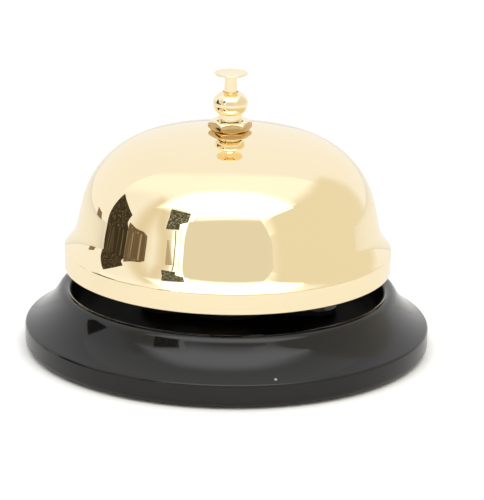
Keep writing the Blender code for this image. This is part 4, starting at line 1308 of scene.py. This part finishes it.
@dataclass
class Hammer:
    """The bell-crank arm, its slotted head and rivet, and the torsion spring round the pin."""

    head: Flat = (26.5 * MM, 15.0 * MM)
    tail: Flat = (1.2 * MM, PIVOT[1])
    thickness: float = 1.6 * MM
    eye: float = 2.9 * MM
    tail_radius: float = 1.3 * MM
    arm_half_width: float = 1.8 * MM
    head_eye: float = 2.0 * MM
    pin_hole: float = 1.3 * MM
    rivet: float = 0.8 * MM
    rivet_play: float = 0.15 * MM
    rivet_head: float = 1.6 * MM
    rivet_round: float = 0.6 * MM
    arm_edge: float = 0.14 * MM
    bend_reach: float = 0.6 * MM
    head_radius: float = 3.5 * MM
    head_half_length: float = 3.2 * MM
    head_edge: float = 0.45 * MM
    slot_width: float = 2.3 * MM
    slot_reach: float = 2.5 * MM
    coil_radius: float = 1.95 * MM
    wire: float = 0.25 * MM
    coil_turns: int = 3
    arm_side: float = 1.25 * MM
    ear_side: float = 3.05 * MM
    leg: float = 9.0 * MM
    hook_offset: float = 2.35 * MM
    anchor_end: float = 4.9 * MM

    def heading(self) -> float:
        """Direction from the pivot to the head in the hammer's plane, in radians."""
        return math.atan2(self.head[1] - PIVOT[1], self.head[0] - PIVOT[0])

    def build_arm(self) -> None:
        """Cuts the arm from plate as one bell crank and drills it."""
        half = self.thickness / 2
        tail = link(PIVOT, self.eye, self.tail, self.tail_radius)
        lever = link(PIVOT, self.arm_half_width, self.head, self.head_eye)
        arm = Bench.plate("crank_arm", tail, -half, half, Axis.FRONT)
        inset = 0.01 * MM
        Bench.combine(arm, Bench.plate("lever", lever, inset - half, half - inset, Axis.FRONT), "UNION")
        Bench.drill(arm, (PIVOT[0], 0.0, PIVOT[1]), self.pin_hole, CROSS_DRILL, Axis.FRONT)
        hole = self.rivet + self.rivet_play
        Bench.drill(arm, (self.head[0], 0.0, self.head[1]), hole, CROSS_DRILL, Axis.FRONT)
        Bench.break_edges(arm, self.arm_edge, 3, BEVEL_ANGLE)
        fit(arm, ZINC_STEEL, Body.HAMMER, "hammer_arm")

    def build_head(self) -> None:
        """Turns the head, slots it for the arm, drills it and sets the rivet."""
        half = self.head_half_length
        edge = self.head_edge
        place = (self.head[0], 0.0, self.head[1])
        outline = [(0.0, -half)] + arc((self.head_radius - edge, edge - half), edge, -90, 0, 8)
        outline += arc((self.head_radius - edge, half - edge), edge, 0, 90, 8) + [(0.0, half)]
        slug = Bench.turn("striker_head", outline, 96, Axis.FRONT, place)
        length = 8.0 * MM
        back = self.slot_reach - length / 2
        turn = self.heading()
        middle = (self.head[0] + back * math.cos(turn), 0.0, self.head[1] + back * math.sin(turn))
        Bench.mill(slug, middle, (length, self.slot_width, 9.0 * MM), -turn)
        Bench.drill(slug, place, self.rivet + self.rivet_play, CROSS_DRILL, Axis.FRONT)
        Bench.smooth(slug)
        fit(slug, TURNED_BRASS, Body.HAMMER, "hammer_head")

        low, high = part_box("hammer_rivet")
        end = (high.y - low.y) / 2
        bend = self.rivet_round
        seat = end - bend
        dome = arc((self.rivet_head - bend, seat), bend, 0, 90, 8)
        outline = [(0.0, -end)] + [(r, -z) for r, z in dome[::-1]] + [(self.rivet, -seat)]
        outline += [(self.rivet, seat)] + dome + [(0.0, end)]
        fit(Bench.turn("rivet", outline, 48, Axis.FRONT, place), ZINC_STEEL, Body.HAMMER, "hammer_rivet")

    def on_arm(self, distance: float, offset: float, y: float) -> Place:
        """A place beside the long arm.

        Args:
            distance: How far along the arm it is from the pivot.
            offset: How far it is off the arm's middle line.
            y: Its depth.

        Returns:
            The place.
        """
        turn = self.heading()
        return (
            PIVOT[0] + math.cos(turn) * distance - math.sin(turn) * offset,
            y,
            PIVOT[1] + math.sin(turn) * distance + math.cos(turn) * offset,
        )

    @staticmethod
    def corner(before: Place, at: Place, after: Place, reach: float) -> list[Place]:
        """Rounds one bend of a wire.

        Args:
            before: The place that the wire comes from.
            at: The sharp corner.
            after: The place that it goes to.
            reach: How far before and after the corner the bend begins and ends.

        Returns:
            Points along the bend.
        """
        start = Vector(at) + (Vector(before) - Vector(at)).normalized() * reach
        end = Vector(at) + (Vector(after) - Vector(at)).normalized() * reach
        points = []
        for step in range(9):
            t = step / 8
            points.append(tuple((1 - t) ** 2 * start + 2 * t * (1 - t) * Vector(at) + t * t * end))
        return points

    def build_spring(self) -> None:
        """Winds the torsion spring from its hook on the arm to its leg in the ear's hole."""
        hook_end = self.on_arm(self.leg, self.hook_offset, -self.thickness / 2 - 0.2 * MM)
        hook = self.on_arm(self.leg, self.hook_offset, self.arm_side)
        leg_start = self.on_arm(1.0 * MM, self.coil_radius + 0.05 * MM, self.arm_side)
        path = [hook_end] + self.corner(hook_end, hook, leg_start, self.bend_reach) + [leg_start]
        first = math.degrees(self.heading()) + 90
        last = 180.0 + 360.0 * self.coil_turns
        steps = 96
        for step in range(steps + 1):
            share = step / steps
            angle = math.radians(first + (last - first) * share)
            y = self.arm_side + (self.ear_side - self.arm_side) * share
            x = PIVOT[0] + self.coil_radius * math.cos(angle)
            path.append((x, y, PIVOT[1] + self.coil_radius * math.sin(angle)))
        corner = (SPRING_ANCHOR[0], self.ear_side, SPRING_ANCHOR[1])
        end = (SPRING_ANCHOR[0], self.anchor_end, SPRING_ANCHOR[1])
        path += self.corner(path[-1], corner, end, self.bend_reach) + [end]
        spring = Bench.bend_wire("swing_spring", path, self.wire)
        spring.data.materials.clear()
        spring.data.materials.append(SPRING_STEEL.material())
        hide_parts("hammer_spring")
        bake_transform(spring)
        LOG.info("%s: %d faces", spring.name, len(spring.data.polygons))

    def build(self) -> None:
        """Builds the hammer and its spring."""
        self.build_arm()
        self.build_head()
        self.build_spring()


@dataclass(frozen=True)
class Glow:
    """A studio surface that lights the bell and shows in its plating.

    Attributes:
        name: The surface's name.
        distance: How far it stands from the bell.
        corners: Its corners in order, each as a turn from the front and a rise, in degrees.
        colour: Its radiance.
        soft: Width over which it fades out at its edges, in metres.
        grain: How strongly a fine pattern breaks up its colour.
    """

    name: str
    distance: float
    corners: tuple[Flat, ...]
    colour: Colour
    soft: float = 0.0
    grain: float = 0.0

    def build(self) -> None:
        """Makes the surface, hidden from the camera's own rays and throwing no shadow."""
        places = [toward(turn, rise, self.distance) for turn, rise in self.corners]
        piece = Bench.trace(self.name, places, closed=True)
        bpy.ops.mesh.edge_face_add()
        if self.soft:
            bpy.ops.mesh.inset(thickness=self.soft, use_boundary=True)
        bpy.ops.object.mode_set(mode="OBJECT")
        fade = piece.data.attributes.new("fade", "FLOAT", "POINT")
        border = len(places) if self.soft else 0
        for index, value in enumerate(fade.data):
            value.value = 0.0 if index < border else 1.0
        piece.data.materials.append(self.material())
        piece.visible_camera = False
        piece.visible_shadow = False

    def material(self) -> bpy.types.Material:
        """An even glow that fades out towards the edges."""
        material = bpy.data.materials.new(self.name)
        material.use_nodes = True
        tree = material.node_tree
        tree.nodes.clear()
        light = add_node(tree, "ShaderNodeEmission", {"Color": (*self.colour, 1.0)})
        if self.grain:
            self.break_up(tree, light)
        clear = add_node(tree, "ShaderNodeBsdfTransparent")
        fade = add_node(tree, "ShaderNodeAttribute", attribute_name="fade").outputs["Fac"]
        ease = add_node(tree, "ShaderNodeMapRange", {"Value": fade}, interpolation_type="SMOOTHSTEP")
        layers = {0: ease.outputs["Result"], 1: clear.outputs[0], 2: light.outputs[0]}
        mixed = add_node(tree, "ShaderNodeMixShader", layers)
        add_node(tree, "ShaderNodeOutputMaterial", {"Surface": mixed.outputs[0]})
        return material

    def break_up(self, tree: bpy.types.NodeTree, light: bpy.types.Node) -> None:
        """Breaks the colour up with a coarse pattern, as foliage or cloth would."""
        place = add_node(tree, "ShaderNodeTexCoord").outputs["Object"]
        pattern = {"Vector": place, "Scale": GRAIN_SCALE, "Detail": 3.0}
        noise = add_node(tree, "ShaderNodeTexNoise", pattern).outputs["Fac"]
        start, end = GRAIN_EDGES
        strengths = {"From Min": start, "From Max": end, "To Min": 1.0, "To Max": 1.0 + self.grain}
        spread = add_node(tree, "ShaderNodeMapRange", {"Value": noise, **strengths})
        tree.links.new(spread.outputs["Result"], light.inputs["Strength"])


def toward(turn: float, rise: float, distance: float) -> Place:
    """Finds a place by its direction from the bell's middle.

    Args:
        turn: Turn from the bell's front, in degrees.
        rise: Rise above the horizon, in degrees.
        distance: How far away it is.

    Returns:
        The place.
    """
    level = distance * math.cos(math.radians(rise))
    height = MIDDLE_HEIGHT + distance * math.sin(math.radians(rise))
    return (level * math.sin(math.radians(turn)), -level * math.cos(math.radians(turn)), height)


GLOWS = (
    Glow("overhead_wide", 2.6, (
        (-110, 26), (0, 26), (110, 26), (150, 64), (-150, 64),
    ), (1.12, 1.12, 1.09), 0.7),
    Glow("overhead_core", 1.2, (
        (-72, 34), (-25, 33), (30, 33), (76, 34), (64, 74), (-64, 74),
    ), (2.7, 2.7, 2.7), 0.36),
    Glow("front_strip", 1.6, ((-51, 7), (-30, 7), (-30, 46), (-56, 46)), (1.9, 1.88, 1.8), 0.02),
    Glow("front_wedge", 1.6, ((24, 16), (40, 16), (52, 48), (14, 48)), (1.5, 1.47, 1.36), 0.12),
    Glow("front_screen", 1.3, (
        (-33, -1.2), (35, -1.2), (33, 10), (28.5, 38), (-33.5, 32),
    ), (0.79, 0.76, 0.66)),
    Glow("side_screen", 1.4, (
        (28, -18), (138, -18), (134, 42), (100, 52), (60, 50), (28, 43),
    ), (0.84, 0.79, 0.65), 0.36),
    Glow("left_screen", 1.4, ((-41, -14), (-84, -14), (-86, 52), (-48, 52)), (0.79, 0.72, 0.58), 0.3),
    Glow("dark_square", 1.1, (
        (-49.7, 18), (-38.8, 20), (-40.1, 27), (-34.2, 31), (-35.6, 44.5), (-56.5, 43.6), (-51.8, 31.9),
    ), (0.085, 0.085, 0.065), 0.0, 4.6),
    Glow("dark_leaf", 1.1, (
        (-104.7, -1.3), (-82, -1.3), (-80.5, 3), (-84.2, 10.9), (-83.4, 19.1), (-94, 24.6),
        (-106.8, 28.9), (-105.9, 18.8), (-105.6, 8.5),
    ), (0.045, 0.035, 0.022), 0.0, 3.0),
    Glow("dark_rail", 1.1, (
        (-82, -1.3), (-64, -1.3), (-63, 5), (-67, 8), (-75, 9), (-82, 12),
    ), (0.15, 0.11, 0.07), 0.0, 2.0),
    Glow("dark_blob", 1.1, ((-121, -1.3), (-113, -1.3), (-114.8, 3.4), (-121.8, 4)), (0.25, 0.18, 0.12)),
    Glow("stand_post", 1.1, ((-39.2, 0), (-38.3, 0), (-41, 19), (-41.9, 19)), (0.3, 0.22, 0.12)),
    Glow("stand_edge", 1.1, ((-35.6, 0), (-35.2, 0), (-36.6, 20), (-37, 20)), (0.5, 0.4, 0.26)),
    Glow("stand_bar", 1.1, ((-46, 6), (-35.4, 6), (-35.6, 6.9), (-46.4, 6.9)), (0.5, 0.4, 0.28)),
    Glow("stand_foot", 1.1, ((-48, 0), (-34.5, 0), (-34.8, 2.2), (-48, 2.2)), (0.2, 0.15, 0.1)),
)


@dataclass
class Studio:
    """The pale table, the soft light round the bell and the camera."""

    camera_distance: float = 0.7
    camera_rise: float = 16.1
    camera_roll: float = 1.05
    camera_target: Place = (2.945 * MM, -2.456 * MM, 21.489 * MM)
    orbit_centre: Place = (0.0, 0.0, MIDDLE_HEIGHT)
    lens: float = 248.95
    sensor: float = 36.0
    sky: float = 0.97
    backdrop: float = 1.05
    table_seen: float = 1.08
    table_reflected: float = 0.77

    def build_camera(self) -> None:
        """Places the camera and makes it the scene's."""
        rise = math.radians(self.camera_rise)
        back = Vector((0.0, -math.cos(rise), math.sin(rise)))
        data = bpy.data.cameras.new("camera")
        data.sensor_fit = "HORIZONTAL"
        data.sensor_width = self.sensor
        data.lens = self.lens
        data.clip_start = 0.01
        data.clip_end = 50.0
        camera = bpy.data.objects.new("camera", data)
        bpy.context.scene.collection.objects.link(camera)
        camera.location = Vector(self.orbit_centre) + back * self.camera_distance
        look = (Vector(self.camera_target) - camera.location).to_track_quat("-Z", "Y").to_matrix()
        roll = Matrix.Rotation(math.radians(self.camera_roll), 3, "Z")
        camera.rotation_euler = (look @ roll).to_euler()
        bpy.context.scene.camera = camera

    @staticmethod
    def seen_or_not(tree: bpy.types.NodeTree, seen: float, other: float) -> bpy.types.NodeSocket:
        """Gives the camera's own rays one value and the light that reaches the bell another.

        Args:
            tree: The node tree.
            seen: The value for the camera's own rays.
            other: The value for all other rays.

        Returns:
            The socket that carries the value.
        """
        path = add_node(tree, "ShaderNodeLightPath")
        levels = {"Value": path.outputs["Is Camera Ray"], "To Min": other, "To Max": seen}
        return add_node(tree, "ShaderNodeMapRange", levels).outputs["Result"]

    def build_table(self) -> None:
        """Lays the plain white table."""
        Bench.deselect()
        bpy.ops.mesh.primitive_circle_add(vertices=96, radius=6.0, fill_type="NGON")
        table = bpy.context.object
        table.name = "table"
        material = bpy.data.materials.new("table_white")
        material.use_nodes = True
        tree = material.node_tree
        shader = tree.nodes["Principled BSDF"]
        shade = self.seen_or_not(tree, self.table_seen, self.table_reflected)
        grey = add_node(tree, "ShaderNodeCombineColor", {channel: shade for channel in range(3)})
        tree.links.new(grey.outputs[0], shader.inputs["Base Color"])
        shader.inputs["Roughness"].default_value = 0.7
        table.data.materials.append(material)

    def build_light(self) -> None:
        """Sets the white surround and the soft panels that show in the plating."""
        world = bpy.data.worlds.new("surround")
        world.use_nodes = True
        tree = world.node_tree
        backdrop = tree.nodes["Background"]
        backdrop.inputs["Color"].default_value = (1.0, 1.0, 1.0, 1.0)
        strength = self.seen_or_not(tree, self.backdrop, self.sky)
        tree.links.new(strength, backdrop.inputs["Strength"])
        bpy.context.scene.world = world
        for glow in GLOWS:
            glow.build()

    def build(self) -> None:
        """Builds the camera, the table and the light, and keeps white as white."""
        self.build_camera()
        self.build_table()
        self.build_light()
        bpy.context.scene.view_settings.view_transform = "Standard"


def main() -> None:
    """Builds the bell's sub-assemblies in order, then the studio."""
    logging.basicConfig(level=logging.INFO, format="%(name)s %(message)s")
    Studio().build()
    Base().build()
    Gong().build()
    CrownStack().build()
    Post().build()
    Plunger().build()
    StrikerFrame().build()
    Hammer().build()


if __name__ == "__main__":
    main()
